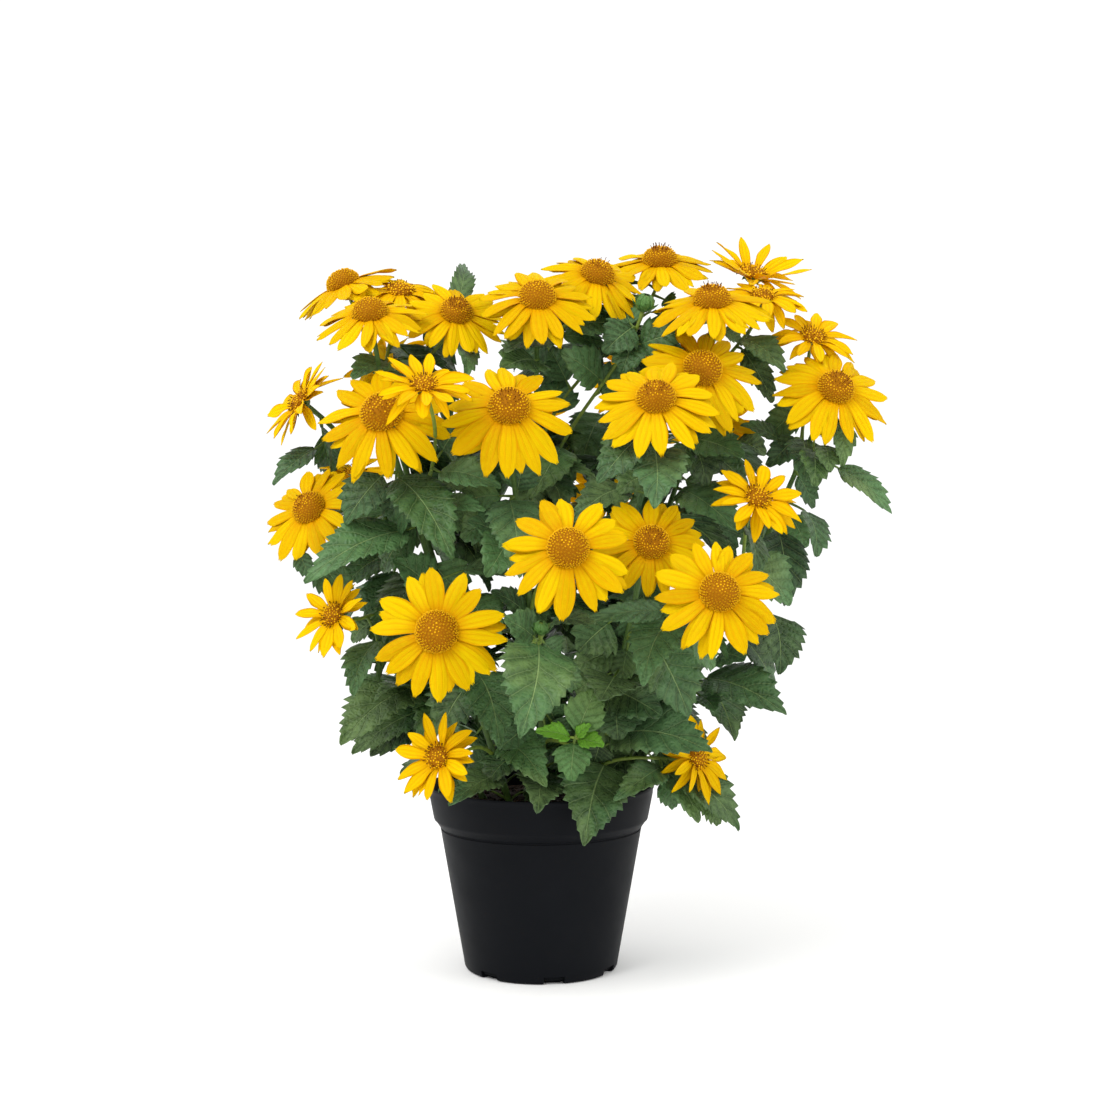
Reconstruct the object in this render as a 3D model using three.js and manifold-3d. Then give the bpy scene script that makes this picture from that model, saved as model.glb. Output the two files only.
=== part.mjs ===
// A false sunflower in flower, standing in its black nursery pot. Millimetres, +Z up, and the viewer of the
// reference view looks along +Y. The origin is the centre of the pot's foot.
import * as THREE from "three";
import { mergeVertices } from "three/addons/utils/BufferGeometryUtils.js";
import Module from "manifold-3d";

const wasm = await Module();
wasm.setup();

// The pot: a moulded 17 cm nursery pot with a stepped band at its rim and drain slots round its flat foot.
const RIM_RADIUS = 87;
const POT_HEIGHT = 141;
const BAND_HEIGHT = 26;
const BAND_CHAMFER = 6;
const BAND_TAPER = 4.5;
const SHOULDER_RADIUS = 77.5;
const FOOT_RADIUS = 58.5;
const FOOT_BEVEL = 2;
const WALL = 1.6;
const FLOOR_THICK = 2;
const POT_SIDES = 32;
const SLOT_COUNT = 7;
const SLOT_FIRST = -42;
const SLOT_WIDTH = 15;
const SLOT_HEIGHT = 5.5;
const SLOT_REACH = 13;

// The soil, filled to just under the rim. The stems stand in holes in it.
const SOIL_TOP = 127;
const SOIL_SWELL = 3;
const SOIL_CROWN = 25;
const SOIL_SHOULDER = 60;
const SOIL_SIDES = 16;
const STEM_DEPTH = 22;
const GAP = 0.3;

// Stems and flower stalks. A curve's two inner points stand at these shares of its reach from its ends.
const STEM = { radius: 2.6, sides: 5, steps: 6 };
const STALK = { radius: 1.5, sides: 3, steps: 4 };
const LEAVING = 0.4;
const ARRIVING = 0.3;
const CLEARANCE = 0.4;

// The rays of a bloom, in shares of its radius. Half a ray's width is a share of the turn from ray to ray.
const RIPE_RAYS = 14;
const YOUNG_RAYS = 11;
const HUB_SHARE = 0.3;
const SHORTEST_RAY = 0.93;
const LONGEST_RAY = 1.05;
const WIDEST_AT = 0.7;
const NARROW_HALF = 0.41;
const BROAD_HALF = 0.47;
const TIP_LIFT = 0.06;
const RIPE_BEND = -0.12;
const YOUNG_BEND = 0.02;
const DROOP = 0.1;
const HUB_THICK = 1.2;
const RAY_RIDGE = 1.2;

// The disc: on a ripe bloom a dome of florets, in rings of [share of its radius, share of its height], and on
// a young one a low cone.
const YOUNG_DISC = 0.12;
const DISC_SHARE = 0.33;
const DISC_HEIGHT = 0.76;
const DISC_SIDES = 8;
const DISC_RELIEF = 0.7;
const DISC_RINGS = [[1, 0], [0.72, 0.8]];

// The green cup under a bloom: its bracts reach out by a share of the bloom's radius.
const CUP_DEPTH = 8;
const BRACTS = 4;
const BRACT_TIP = { out: 0.34, down: 4 };
const BRACT_NOTCH = { out: 0.2, down: 1 };

// A leaf: a toothed blade on a short stalk, thick at its rib and thinned to its edge. A tooth and the notch
// after it stand at these shares of the tooth's length and of the blade's half width.
const RIB_THICK = 1.4;
const LEAF_STALK_RADIUS = 1;
const LEAF_STALK_SIDE = 0.6;
const LEAF_FOLD = 14;
const TOOTH = { at: 0.75, out: 1.04 };
const NOTCH = { at: 0.87, out: 0.82 };
const TIP_ROOM = 0.85;
const BLADE_SKEW = 0.62;
const BLADE_FULLNESS = 0.85;

// The reference view: where the viewer stands, and the square picture's focal length in its own pixels.
const VIEW = { right: 14.6, away: 1400, height: 365, pitch: 2.13, focal: 1827, centre: 560 };

const radians = THREE.MathUtils.degToRad;
const vec = (x, y, z) => new THREE.Vector3(x, y, z);
const between = (low, high, share) => low + (high - low) * share;
const UP = vec(0, 0, 1);

// The point seen at pixel (u, v) of the reference view, at a depth behind the pot's axis.
function seen(u, v, depth) {
  const pitch = radians(VIEW.pitch);
  const forward = vec(0, Math.cos(pitch), -Math.sin(pitch));
  const upward = vec(0, Math.sin(pitch), Math.cos(pitch));
  const ray = forward.multiplyScalar(VIEW.focal).addScaledVector(upward, VIEW.centre - v);
  ray.x = u - VIEW.centre;
  return vec(VIEW.right, -VIEW.away, VIEW.height).addScaledVector(ray, (VIEW.away + depth) / ray.y);
}

// The direction that is turned to the viewer's right and raised above the level.
function facing(turn, rise) {
  const t = radians(turn);
  const r = radians(rise);
  return vec(Math.sin(t) * Math.cos(r), -Math.cos(t) * Math.cos(r), Math.sin(r));
}

// Numbers between 0 and 1 in an order fixed by the seed.
function draws(seed) {
  let state = seed >>> 0;
  return () => {
    state = (Math.imul(state, 1664525) + 1013904223) >>> 0;
    return state / 4294967296;
  };
}

// The leafy stems, each by its foot in the soil and its lean out of the upright there. The bloom that leaves
// its stem at share 1 crowns it.
const STEMS = [
  { name: "stem_west", foot: [-27, -9], lean: 24 },
  { name: "stem_southwest", foot: [-15, -26], lean: 20 },
  { name: "stem_south", foot: [3, -31], lean: 12 },
  { name: "stem_southeast", foot: [20, -23], lean: 20 },
  { name: "stem_east", foot: [30, -5], lean: 26 },
  { name: "stem_northeast", foot: [22, 17], lean: 12 },
  { name: "stem_north", foot: [1, 25], lean: 6 },
  { name: "stem_northwest", foot: [-21, 15], lean: 14 },
];

// A bloom: its stem, the place of its foot, its span, the way it faces, the rise of its rays, and how far up
// the stem its stalk leaves it. A ripe bloom has a domed brown disc, a young one a small flat yellow one.
const young = (stem, at, span, turn, rise, cup, from) => ({ stem, at, span, turn, rise, cup, from });
const ripe = (...values) => ({ ...young(...values), ripe: true });

const BLOOMS = [
  young(0, seen(300, 401, -20), 72, -60, 32, 6, 1),
  ripe(0, seen(310, 509, -60), 80, -28, 32, -4, 0.7),
  young(0, seen(333, 615, -85), 62, -35, 22, 12, 0.45),
  young(0, seen(354, 474, -10), 60, -15, 62, 0, 0.8),
  ripe(1, seen(382, 414, -105), 95, -6, 32, -16, 1),
  young(1, seen(424, 385, -150), 66, 8, 52, 6, 0.72),
  ripe(1, seen(437, 632, -150), 92, -4, 12, -2, 0.42),
  young(1, seen(438, 757, -125), 64, -30, 18, 16, 0.2),
  ripe(2, seen(509, 408, -125), 92, 2, 34, -16, 1),
  ripe(2, seen(568, 549, -185), 88, 0, 24, -8, 0.5),
  ripe(3, seen(656, 399, -132), 86, -4, 38, -10, 1),
  ripe(3, seen(651, 543, -138), 78, 6, 26, -4, 0.62),
  ripe(3, seen(719, 593, -172), 86, 6, 24, -8, 0.46),
  young(3, seen(697, 757, -45), 66, 46, 16, 6, 0.16),
  ripe(4, seen(835, 389, -55), 86, 14, 34, -12, 1),
  young(4, seen(757, 498, -115), 66, 18, 38, 10, 0.5),
  young(4, seen(813, 337, -15), 68, 12, 50, 2, 0.8),
  ripe(5, seen(712, 302, -60), 88, -4, 62, -8, 1),
  ripe(5, seen(702, 370, -75), 90, 12, 30, -14, 0.78),
  young(5, seen(763, 296, -5), 70, 8, 62, -2, 0.82),
  young(5, seen(754, 274, 45), 80, 28, 58, 26, 0.9),
  ripe(6, seen(537, 298, -70), 84, 2, 44, -8, 1),
  ripe(6, seen(597, 276, -22), 82, 22, 50, -14, 0.85),
  ripe(6, seen(660, 262, 26), 84, -2, 62, -6, 0.7),
  ripe(7, seen(370, 314, -60), 82, -8, 58, -10, 1),
  young(7, seen(400, 291, -5), 78, 12, 60, -14, 0.86),
  ripe(7, seen(456, 313, -38), 76, 12, 42, -6, 0.8),
  ripe(7, seen(344, 285, 10), 82, -55, 62, -8, 0.7),
  // The blooms on the side away from the viewer.
  young(7, seen(385, 372, 92), 84, -135, 40, -6, 0.66),
  young(6, seen(522, 424, 142), 86, 190, 46, -8, 0.66),
  young(6, seen(640, 372, 122), 84, 165, 44, -10, 0.6),
  young(5, seen(716, 424, 96), 80, 160, 38, -6, 0.66),
  young(5, seen(610, 500, 122), 84, 172, 30, -6, 0.4),
];

// Green buds, each by its stem, place, radius, direction and share up the stem.
const BUDS = [
  { stem: 2, at: seen(541, 628, -150), radius: 5, turn: 5, rise: 60, from: 0.42 },
  { stem: 6, at: seen(645, 303, -48), radius: 7, turn: 25, rise: 60, from: 0.6 },
];

// A leaf seen in the reference view: the pixels of its base and tip, how far its tip comes forward of its
// base, its width, and the way its upper side faces.
const leaf = (u, v, tipU, tipV, forward, width, turn, rise) => ({
  base: [u, v],
  tip: [tipU, tipV],
  forward,
  width,
  turn,
  rise,
});

const SEEN_LEAVES = [
  leaf(399, 478, 453, 562, 60, 43, 10, 30),
  leaf(408, 530, 304, 580, 45, 43, -25, 25),
  leaf(440, 472, 500, 486, 25, 29, 0, 40),
  leaf(440, 505, 486, 511, 30, 17, 0, 25),
  leaf(424, 684, 341, 747, 60, 58, -20, 40),
  leaf(477, 672, 500, 747, 60, 40, 5, 25),
  leaf(548, 640, 520, 738, 65, 52, 5, 20),
  leaf(536, 622, 492, 591, 20, 25, -5, 40),
  leaf(552, 622, 594, 622, 30, 20, 5, 45),
  leaf(668, 612, 582, 621, 40, 17, -10, 10),
  leaf(668, 622, 643, 682, 50, 38, -10, 25),
  leaf(684, 668, 786, 711, 50, 49, 20, 35),
  leaf(674, 674, 715, 711, 25, 27, 25, 10),
  leaf(640, 668, 600, 700, 40, 43, -5, 30),
  leaf(612, 734, 713, 754, 50, 52, 8, 38),
  leaf(590, 728, 598, 686, 20, 34, 5, 25),
  leaf(604, 764, 585, 843, 70, 56, 2, 12),
  leaf(660, 767, 615, 798, 60, 27, 0, 32),
  leaf(662, 778, 741, 829, 30, 44, 15, 30),
  leaf(499, 774, 449, 803, 55, 27, -8, 32),
  leaf(505, 742, 545, 784, 50, 34, 5, 30),
  leaf(526, 772, 538, 812, 66, 36, 5, 14),
  leaf(575, 735, 535, 732, 25, 17, -10, 45),
  leaf(575, 735, 602, 741, 25, 16, 15, 45),
  leaf(578, 741, 571, 779, 30, 25, 5, 20),
  leaf(378, 640, 352, 694, 30, 29, -25, 20),
  leaf(316, 449, 273, 485, 20, 25, -20, 45),
  leaf(320, 418, 329, 478, 20, 22, 65, 10),
  leaf(385, 361, 352, 378, 20, 27, -10, 40),
  leaf(470, 330, 464, 263, -60, 18, -10, 10),
  leaf(460, 340, 466, 376, 30, 22, 40, 15),
  leaf(558, 364, 502, 368, 40, 43, -5, 28),
  leaf(562, 338, 505, 352, 30, 36, -10, 28),
  leaf(590, 350, 640, 342, 30, 29, 0, 40),
  leaf(640, 330, 612, 300, -20, 34, -10, 35),
  leaf(602, 415, 580, 470, 45, 40, -5, 25),
  leaf(540, 464, 595, 480, 35, 20, 0, 50),
  leaf(626, 488, 574, 519, 40, 31, -5, 35),
  leaf(652, 440, 655, 508, 45, 43, 0, 22),
  leaf(682, 430, 675, 480, 35, 20, 5, 15),
  leaf(690, 433, 744, 457, 30, 38, 10, 30),
  leaf(681, 489, 738, 530, 40, 40, 10, 30),
  leaf(742, 339, 785, 371, 30, 29, 15, 35),
  leaf(783, 422, 804, 480, 35, 31, 10, 15),
  leaf(779, 441, 740, 426, 20, 18, -10, 35),
  leaf(833, 441, 814, 486, 25, 29, 20, 10),
  leaf(838, 468, 893, 512, 15, 25, 20, 40),
  leaf(746, 527, 755, 575, 30, 27, 45, 10),
  leaf(778, 532, 784, 606, 30, 40, 20, 10),
  leaf(806, 512, 818, 555, 25, 29, 40, 20),
  leaf(772, 614, 781, 673, 30, 42, 25, 10),
  leaf(500, 560, 470, 520, 30, 38, -5, 35),
  leaf(510, 500, 520, 575, 50, 38, 0, 20),
  leaf(470, 600, 500, 640, 30, 38, 5, 25),
  leaf(560, 440, 530, 500, 40, 38, -10, 25),
  leaf(610, 590, 650, 630, 30, 38, 10, 30),
  leaf(700, 640, 745, 660, 20, 38, 15, 30),
  leaf(430, 590, 395, 560, 20, 38, -10, 35),
  leaf(605, 385, 560, 352, 20, 36, -5, 25),
  leaf(598, 400, 634, 372, 20, 34, 5, 25),
  leaf(548, 420, 560, 380, -15, 38, 0, 20),
  leaf(640, 345, 690, 330, 20, 34, 10, 25),
  leaf(492, 518, 486, 576, 30, 36, -10, 30),
  leaf(600, 470, 556, 502, 0, 34, -5, 30),
  leaf(430, 472, 398, 534, 0, 38, -10, 25),
  leaf(388, 560, 372, 640, 10, 36, -10, 20),
  leaf(432, 552, 466, 596, 0, 42, 0, 25),
  leaf(545, 642, 505, 618, 10, 32, -5, 35),
  leaf(600, 596, 578, 652, 0, 42, 0, 20),
  leaf(652, 640, 690, 716, 10, 50, 10, 30),
  leaf(636, 690, 618, 740, 5, 40, 0, 20),
  leaf(700, 496, 734, 560, 0, 42, 20, 25),
  leaf(640, 436, 598, 482, 5, 34, -10, 30),
  leaf(806, 405, 766, 438, 0, 30, 10, 40),
  leaf(560, 322, 625, 328, -10, 40, 0, 45),
  leaf(578, 398, 548, 346, -10, 28, 0, 30),
  leaf(448, 470, 462, 424, 0, 30, 0, 30),
  leaf(472, 676, 440, 732, 10, 42, -10, 30),
  leaf(572, 690, 548, 742, 0, 42, 0, 20),
  leaf(500, 496, 456, 506, 0, 30, 0, 40),
  leaf(520, 500, 524, 458, 0, 28, 0, 30),
  leaf(382, 476, 345, 524, 0, 38, -15, 30),
  leaf(738, 556, 792, 604, 0, 42, 20, 25),
  leaf(740, 636, 776, 694, 0, 44, 20, 30),
  leaf(615, 690, 662, 716, 0, 44, 5, 30),
  leaf(596, 700, 566, 726, 0, 40, -5, 30),
];
const SEEN_ARCH = 0.1;
const STANDOFF = 4;
const STALK_BEND = 60;

// Where a seen leaf would cross something, its tip moves this far along its line of sight and its face turns.
// Its stalk reaches its base on the line of sight, or runs straight to its tip where it would bend more.
const TIP_SHIFTS = [0, 10, -10, 20, -20, 32, -32, 45];
const FACE_TURNS = [0, 28, -28];

// A seen leaf grows from the nearest of these points on the stems and stalks, clear of the soil and of their
// ends. Of points almost as near, it takes one nearer to the viewer.
const CURVE_SAMPLES = 40;
const END_SAMPLES = 2;
const JOINT_HEIGHT = 6;
const FRONT_FIRST = 0.05;

// Leaves in opposite pairs, each pair square to the last, fill the rest of each stem. They turn and hang
// until they are clear. No tip comes further forward than the front limit, where the seen leaves stand, or
// hangs lower than the lowest tip.
const PAIR_FIRST = 150;
const PAIR_SPACING = 62;
const PAIR_TOP_SHARE = 0.88;
const PAIR_SAMPLES = 200;
const LONGEST_LEAF = 96;
const SHORTEST_LEAF = 68;
const LEAF_SPREAD = 0.15;
const WIDTH_SHARE = 0.58;
const LEAF_STALK_LENGTH = 14;
const LEAF_STALK_RISE = 30;
const PAIR_FACE_RISE = 50;
const PAIR_ARCH = 0.14;
const FRONT_LIMIT = -45;
const LOWEST_TIP = 165;
const PAIR_TURNS = [0, 20, -20, 40, -40];
const PAIR_HANGS = [36, 50, 20];
const PAIR_SEED = 5050;
const RAY_SEED = 100;

// Where a stem or stalk would cross something, its middle moves aside by one of these, to the right and away,
// or its start moves down the stem by one of these shares.
const SWAYS = [
  ...[[0, 0], [0, 14], [14, 0], [-14, 0], [0, -14]],
  ...[[16, 16], [-16, 16], [0, 30], [28, 0], [-28, 0]],
  ...[[28, 24], [-28, 24], [0, 45], [45, 20], [-45, 20]],
];
const START_DROPS = [0, 0.07, 0.14];

// A closed solid from a geometry whose faces point out.
function solidOf(geometry) {
  const plain = new THREE.BufferGeometry().setAttribute("position", geometry.getAttribute("position"));
  if (geometry.index) plain.setIndex(geometry.index);
  const merged = mergeVertices(plain, 1e-4);
  const vertProperties = Float32Array.from(merged.getAttribute("position").array);
  const triVerts = Uint32Array.from(merged.index.array);
  return new wasm.Manifold(new wasm.Mesh({ numProp: 3, vertProperties, triVerts }));
}

function geometryOf(solid) {
  const mesh = solid.getMesh();
  const places = new Float32Array(mesh.numVert * 3);
  for (let i = 0; i < mesh.numVert; i += 1) {
    places.set(mesh.vertProperties.subarray(i * mesh.numProp, i * mesh.numProp + 3), i * 3);
  }
  const geometry = new THREE.BufferGeometry().setAttribute("position", new THREE.BufferAttribute(places, 3));
  return geometry.setIndex(new THREE.BufferAttribute(mesh.triVerts, 1));
}

function solidFrom(points, triangles) {
  return solidOf(new THREE.BufferGeometry().setFromPoints(points).setIndex(triangles.flat()));
}

// A closed outline of [radius, height] points turned round the upright axis.
function turned(profile, sides) {
  const outline = profile.map(([radius, height]) => new THREE.Vector2(radius, height));
  return solidOf(new THREE.LatheGeometry([...outline, outline[0]], sides).rotateX(Math.PI / 2));
}

// A bar of regular section along a curve, thickened by more, and the point at a share along its axis, which
// is straight from step to step.
function bar(curve, { radius, sides, steps }, more) {
  const section = new THREE.Shape(
    Array.from({ length: sides }, (_, i) => {
      const angle = (2 * Math.PI * i) / sides;
      return new THREE.Vector2(Math.cos(angle), Math.sin(angle)).multiplyScalar(radius + more);
    }),
  );
  return solidOf(new THREE.ExtrudeGeometry(section, { extrudePath: curve, steps, bevelEnabled: false }));
}
function axisPoint(curve, { steps }, share) {
  const points = curve.getSpacedPoints(steps);
  const step = Math.min(Math.floor(share * steps), steps - 1);
  return points[step].clone().lerp(points[step + 1], share * steps - step);
}

// The pot's outer radius at a height on its tapered body.
const bandFoot = POT_HEIGHT - BAND_HEIGHT;
const shoulder = bandFoot - BAND_CHAMFER;
const bodyRadius = (height) => between(FOOT_RADIUS, SHOULDER_RADIUS, height / shoulder);

function potSolid() {
  const shell = turned(
    [
      [0, 0],
      [FOOT_RADIUS - FOOT_BEVEL, 0],
      [bodyRadius(FOOT_BEVEL), FOOT_BEVEL],
      [SHOULDER_RADIUS, shoulder],
      [RIM_RADIUS - BAND_TAPER, bandFoot],
      [RIM_RADIUS, POT_HEIGHT],
      [RIM_RADIUS - WALL, POT_HEIGHT],
      [RIM_RADIUS - BAND_TAPER - WALL, bandFoot + WALL / 2],
      [SHOULDER_RADIUS - WALL, shoulder + WALL / 2],
      [bodyRadius(FLOOR_THICK) - WALL, FLOOR_THICK],
      [0, FLOOR_THICK],
    ],
    POT_SIDES,
  );
  const slots = Array.from({ length: SLOT_COUNT }, (_, i) => {
    const slot = new THREE.BoxGeometry(SLOT_WIDTH, SLOT_REACH, 2 * SLOT_HEIGHT).translate(0, -FOOT_RADIUS, 0);
    return solidOf(slot.rotateZ(radians(SLOT_FIRST + (360 / SLOT_COUNT) * i)));
  });
  return slots.reduce((pot, slot) => pot.subtract(slot), shell);
}

function soilSolid(holes) {
  const bandInner = RIM_RADIUS - BAND_TAPER - WALL - GAP;
  const mass = turned(
    [
      [0, FLOOR_THICK + GAP],
      [bodyRadius(FLOOR_THICK) - WALL - 3 * GAP, FLOOR_THICK + GAP],
      [SHOULDER_RADIUS - WALL - 3 * GAP, shoulder + WALL / 2],
      [bandInner - 2 * GAP, bandFoot + WALL],
      [bandInner - GAP, SOIL_TOP],
      [SOIL_SHOULDER, SOIL_TOP + SOIL_SWELL / 2],
      [SOIL_CROWN, SOIL_TOP + SOIL_SWELL],
      [0, SOIL_TOP + SOIL_SWELL],
    ],
    SOIL_SIDES,
  );
  return holes.reduce((soil, hole) => soil.subtract(hole), mass);
}

// The ring of rays as one blade cut into petals, in the bloom's own frame with its face up. down is the way
// that things fall in that frame. A young bloom's hub rises into its disc.
function raysSolid(bloom, seed, down) {
  const next = draws(seed);
  const count = bloom.ripe ? RIPE_RAYS : YOUNG_RAYS;
  const pitch = (2 * Math.PI) / count;
  const radius = bloom.span / 2;
  const hub = radius * HUB_SHARE;
  const slope = Math.tan(radians(bloom.cup));
  const bend = bloom.ripe ? RIPE_BEND : YOUNG_BEND;
  const points = [];
  const triangles = [];
  const add = (point) => points.push(point) - 1;
  const place = (angle, reach, lift) => {
    const out = (reach - HUB_SHARE) * radius;
    const height = GAP + HUB_THICK / 2 + out * (slope + lift) + (bend * out * out) / radius;
    const point = vec(Math.cos(angle) * reach * radius, Math.sin(angle) * reach * radius, height);
    return point.addScaledVector(down, (DROOP * out * out) / radius);
  };
  const corners = Array.from({ length: count }, (_, i) => {
    const [x, y] = [Math.cos(pitch * i) * hub, Math.sin(pitch * i) * hub];
    return { top: add(vec(x, y, GAP + HUB_THICK)), foot: add(vec(x, y, GAP)) };
  });
  const centre = add(vec(0, 0, GAP + HUB_THICK + (bloom.ripe ? 0 : YOUNG_DISC * radius)));
  corners.forEach((a, i) => {
    const b = corners[(i + 1) % count];
    const middle = pitch * (i + 0.5);
    const half = pitch * between(NARROW_HALF, BROAD_HALF, next());
    const reach = between(SHORTEST_RAY, LONGEST_RAY, next());
    const lift = between(-TIP_LIFT, TIP_LIFT, next());
    const right = add(place(middle - half, WIDEST_AT * reach, lift));
    const left = add(place(middle + half, WIDEST_AT * reach, lift));
    const tip = add(place(middle, reach, lift));
    const ridge = add(points[right].clone().lerp(points[left], 0.5).add(vec(0, 0, RAY_RIDGE)));
    triangles.push([centre, a.top, b.top]);
    if (i > 0 && i < count - 1) triangles.push([corners[0].foot, b.foot, a.foot]);
    triangles.push([a.top, right, ridge], [right, tip, ridge], [tip, left, ridge]);
    triangles.push([left, b.top, ridge], [b.top, a.top, ridge]);
    triangles.push([a.foot, b.foot, left], [a.foot, left, right], [right, left, tip]);
    triangles.push([a.top, a.foot, right], [b.top, left, b.foot]);
  });
  return solidFrom(points, triangles);
}

// The dome of florets on a ripe bloom, with every other corner raised, in the bloom's own frame.
function discSolid(bloom) {
  const foot = GAP + HUB_THICK + GAP;
  const radius = (bloom.span / 2) * DISC_SHARE;
  const height = radius * DISC_HEIGHT;
  const points = [vec(0, 0, foot), vec(0, 0, foot + height)];
  const triangles = [];
  const at = (ring, i) => 2 + ring * DISC_SIDES + (i % DISC_SIDES);
  DISC_RINGS.forEach(([out, up], ring) => {
    for (let i = 0; i < DISC_SIDES; i += 1) {
      const angle = (2 * Math.PI * (i + ring / 2)) / DISC_SIDES;
      const raised = up * DISC_RELIEF * (i % 2);
      const reach = radius * out + raised;
      points.push(vec(Math.cos(angle) * reach, Math.sin(angle) * reach, foot + height * up + raised / 2));
    }
  });
  const last = DISC_RINGS.length - 1;
  for (let i = 0; i < DISC_SIDES; i += 1) {
    triangles.push([0, at(0, i + 1), at(0, i)], [at(last, i), at(last, i + 1), 1]);
    for (let ring = 0; ring < last; ring += 1) {
      triangles.push([at(ring, i), at(ring, i + 1), at(ring + 1, i)]);
      triangles.push([at(ring, i + 1), at(ring + 1, i + 1), at(ring + 1, i)]);
    }
  }
  return solidFrom(points, triangles);
}

// The green cup of bracts under a bloom, in the bloom's own frame.
function cupSolid(bloom) {
  const points = [vec(0, 0, 0), vec(0, 0, -CUP_DEPTH)];
  const triangles = [];
  for (let i = 0; i < 2 * BRACTS; i += 1) {
    const angle = (Math.PI * i) / BRACTS;
    const { out, down } = i % 2 ? BRACT_NOTCH : BRACT_TIP;
    const reach = (bloom.span / 2) * out;
    const after = 2 + ((i + 1) % (2 * BRACTS));
    points.push(vec(Math.cos(angle) * reach, Math.sin(angle) * reach, -down));
    triangles.push([0, 2 + i, after], [1, after, 2 + i]);
  }
  return solidFrom(points, triangles);
}

// Triangles between two lines of points, taken in the order of their stations.
function zipped(inner, outer, sign) {
  const triangles = [];
  let i = 0;
  let j = 0;
  while (i < inner.length - 1 || j < outer.length - 1) {
    const inward = j === outer.length - 1 || (i < inner.length - 1 && inner[i + 1].t <= outer[j + 1].t);
    const corner = [inner[i].at, outer[j].at, inward ? inner[i + 1].at : outer[j + 1].at];
    if (inward) i += 1;
    else j += 1;
    if (new Set(corner).size === 3) triangles.push(sign > 0 ? corner : corner.reverse());
  }
  return triangles;
}

// A toothed leaf with its stalk from a root inside the stem, as one closed blade, thickened by more. A plain
// leaf has no bend between its stalk and its blade.
function leafSolid({ root, base, tip, width, face, arch, plain }, more) {
  const along = tip.clone().sub(base);
  const length = along.length();
  const across = along.clone().cross(face).normalize();
  const upper = across.clone().cross(along).normalize();
  const fold = radians(LEAF_FOLD);
  const rise = (t) => arch * length * 4 * t * (1 - t);
  const rib = (t) => base.clone().addScaledVector(along, t).addScaledVector(upper, rise(t));
  const half = (t) => (width / 2) * Math.sin(Math.PI * t ** BLADE_SKEW) ** BLADE_FULLNESS;
  const thick = RIB_THICK / 2 + more;
  const stalk = LEAF_STALK_RADIUS + more;
  const stations = plain ? [0.4] : [0, 0.5];
  const teeth = plain ? 2 : 3;
  const points = [tip];
  const add = (point) => points.push(point) - 1;
  // The stalk's root is three-sided: its top corner starts the upper rib, its two lower ones the edges.
  const corners = [[0, 1], [1, -LEAF_STALK_SIDE], [-1, -LEAF_STALK_SIDE]];
  const [peak, nearFoot, farFoot] = corners.map(([x, y]) =>
    add(root.clone().addScaledVector(across, x * stalk).addScaledVector(upper, y * stalk)),
  );
  const line = (side, start) => [
    { t: -1, at: start },
    ...stations.map((t) => ({ t, at: add(rib(t).addScaledVector(upper, side * thick)) })),
    { t: 1, at: 0 },
  ];
  const edge = (side, start) => {
    const found = [{ t: -1, at: start }];
    if (!plain) found.push({ t: 0.01, at: add(base.clone().addScaledVector(across, side * stalk)) });
    for (let i = 0; i < 2 * teeth; i += 1) {
      const corner = i % 2 ? NOTCH : TOOTH;
      const t = (Math.floor(i / 2) + corner.at) / (teeth + TIP_ROOM);
      const out = half(t) * corner.out + more;
      const point = rib(t).addScaledVector(across, side * out * Math.cos(fold));
      found.push({ t, at: add(point.addScaledVector(upper, out * Math.sin(fold))) });
    }
    return [...found, { t: 1, at: 0 }];
  };
  const [top, under] = [line(1, peak), line(-1, nearFoot)];
  const [near, far] = [edge(1, nearFoot), edge(-1, farFoot)];
  return solidFrom(points, [
    [peak, farFoot, nearFoot],
    ...zipped(top, near, 1),
    ...zipped(under, near, -1),
    ...zipped(top, far, -1),
    ...zipped(under, far, 1),
  ]);
}

// What has been placed so far: each solid with what it grows from, its kind and the box round it.
const TOUCH_VOLUME = 0.001;
const placed = [];
function boxOf(solid) {
  const { min, max } = solid.boundingBox();
  return new THREE.Box3(vec(...min), vec(...max));
}
function settle(solid, owner, kind) {
  placed.push({ solid, owner, kind, box: boxOf(solid) });
}

// Whether a solid is clear of what has been placed so far, apart from what it may touch.
function clear(solid, mayTouch) {
  const box = boxOf(solid);
  const hits = (other) =>
    !mayTouch(other) && box.intersectsBox(other.box) && solid.intersect(other.solid).volume() > TOUCH_VOLUME;
  return !placed.some(hits);
}

const MATERIALS = {
  pot: new THREE.MeshStandardMaterial({ color: 0x1d1f22, roughness: 0.55, metalness: 0 }),
  soil: new THREE.MeshStandardMaterial({ color: 0x2b211a, roughness: 0.95, metalness: 0 }),
  leaf: new THREE.MeshStandardMaterial({ color: 0x35573a, roughness: 0.6, metalness: 0 }),
  rays: new THREE.MeshStandardMaterial({ color: 0xf6c40e, roughness: 0.55, metalness: 0 }),
  disc: new THREE.MeshStandardMaterial({ color: 0xa8660c, roughness: 0.85, metalness: 0 }),
};
const group = new THREE.Group();
function addPiece(name, solid, material) {
  const mesh = new THREE.Mesh(geometryOf(solid), MATERIALS[material]);
  mesh.name = name;
  group.add(mesh);
}

// Where a flower head's own frame stands.
function headMatrix(head) {
  const turn = new THREE.Quaternion().setFromUnitVectors(UP, facing(head.turn, head.rise));
  return new THREE.Matrix4().compose(head.at, turn, vec(1, 1, 1));
}

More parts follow.
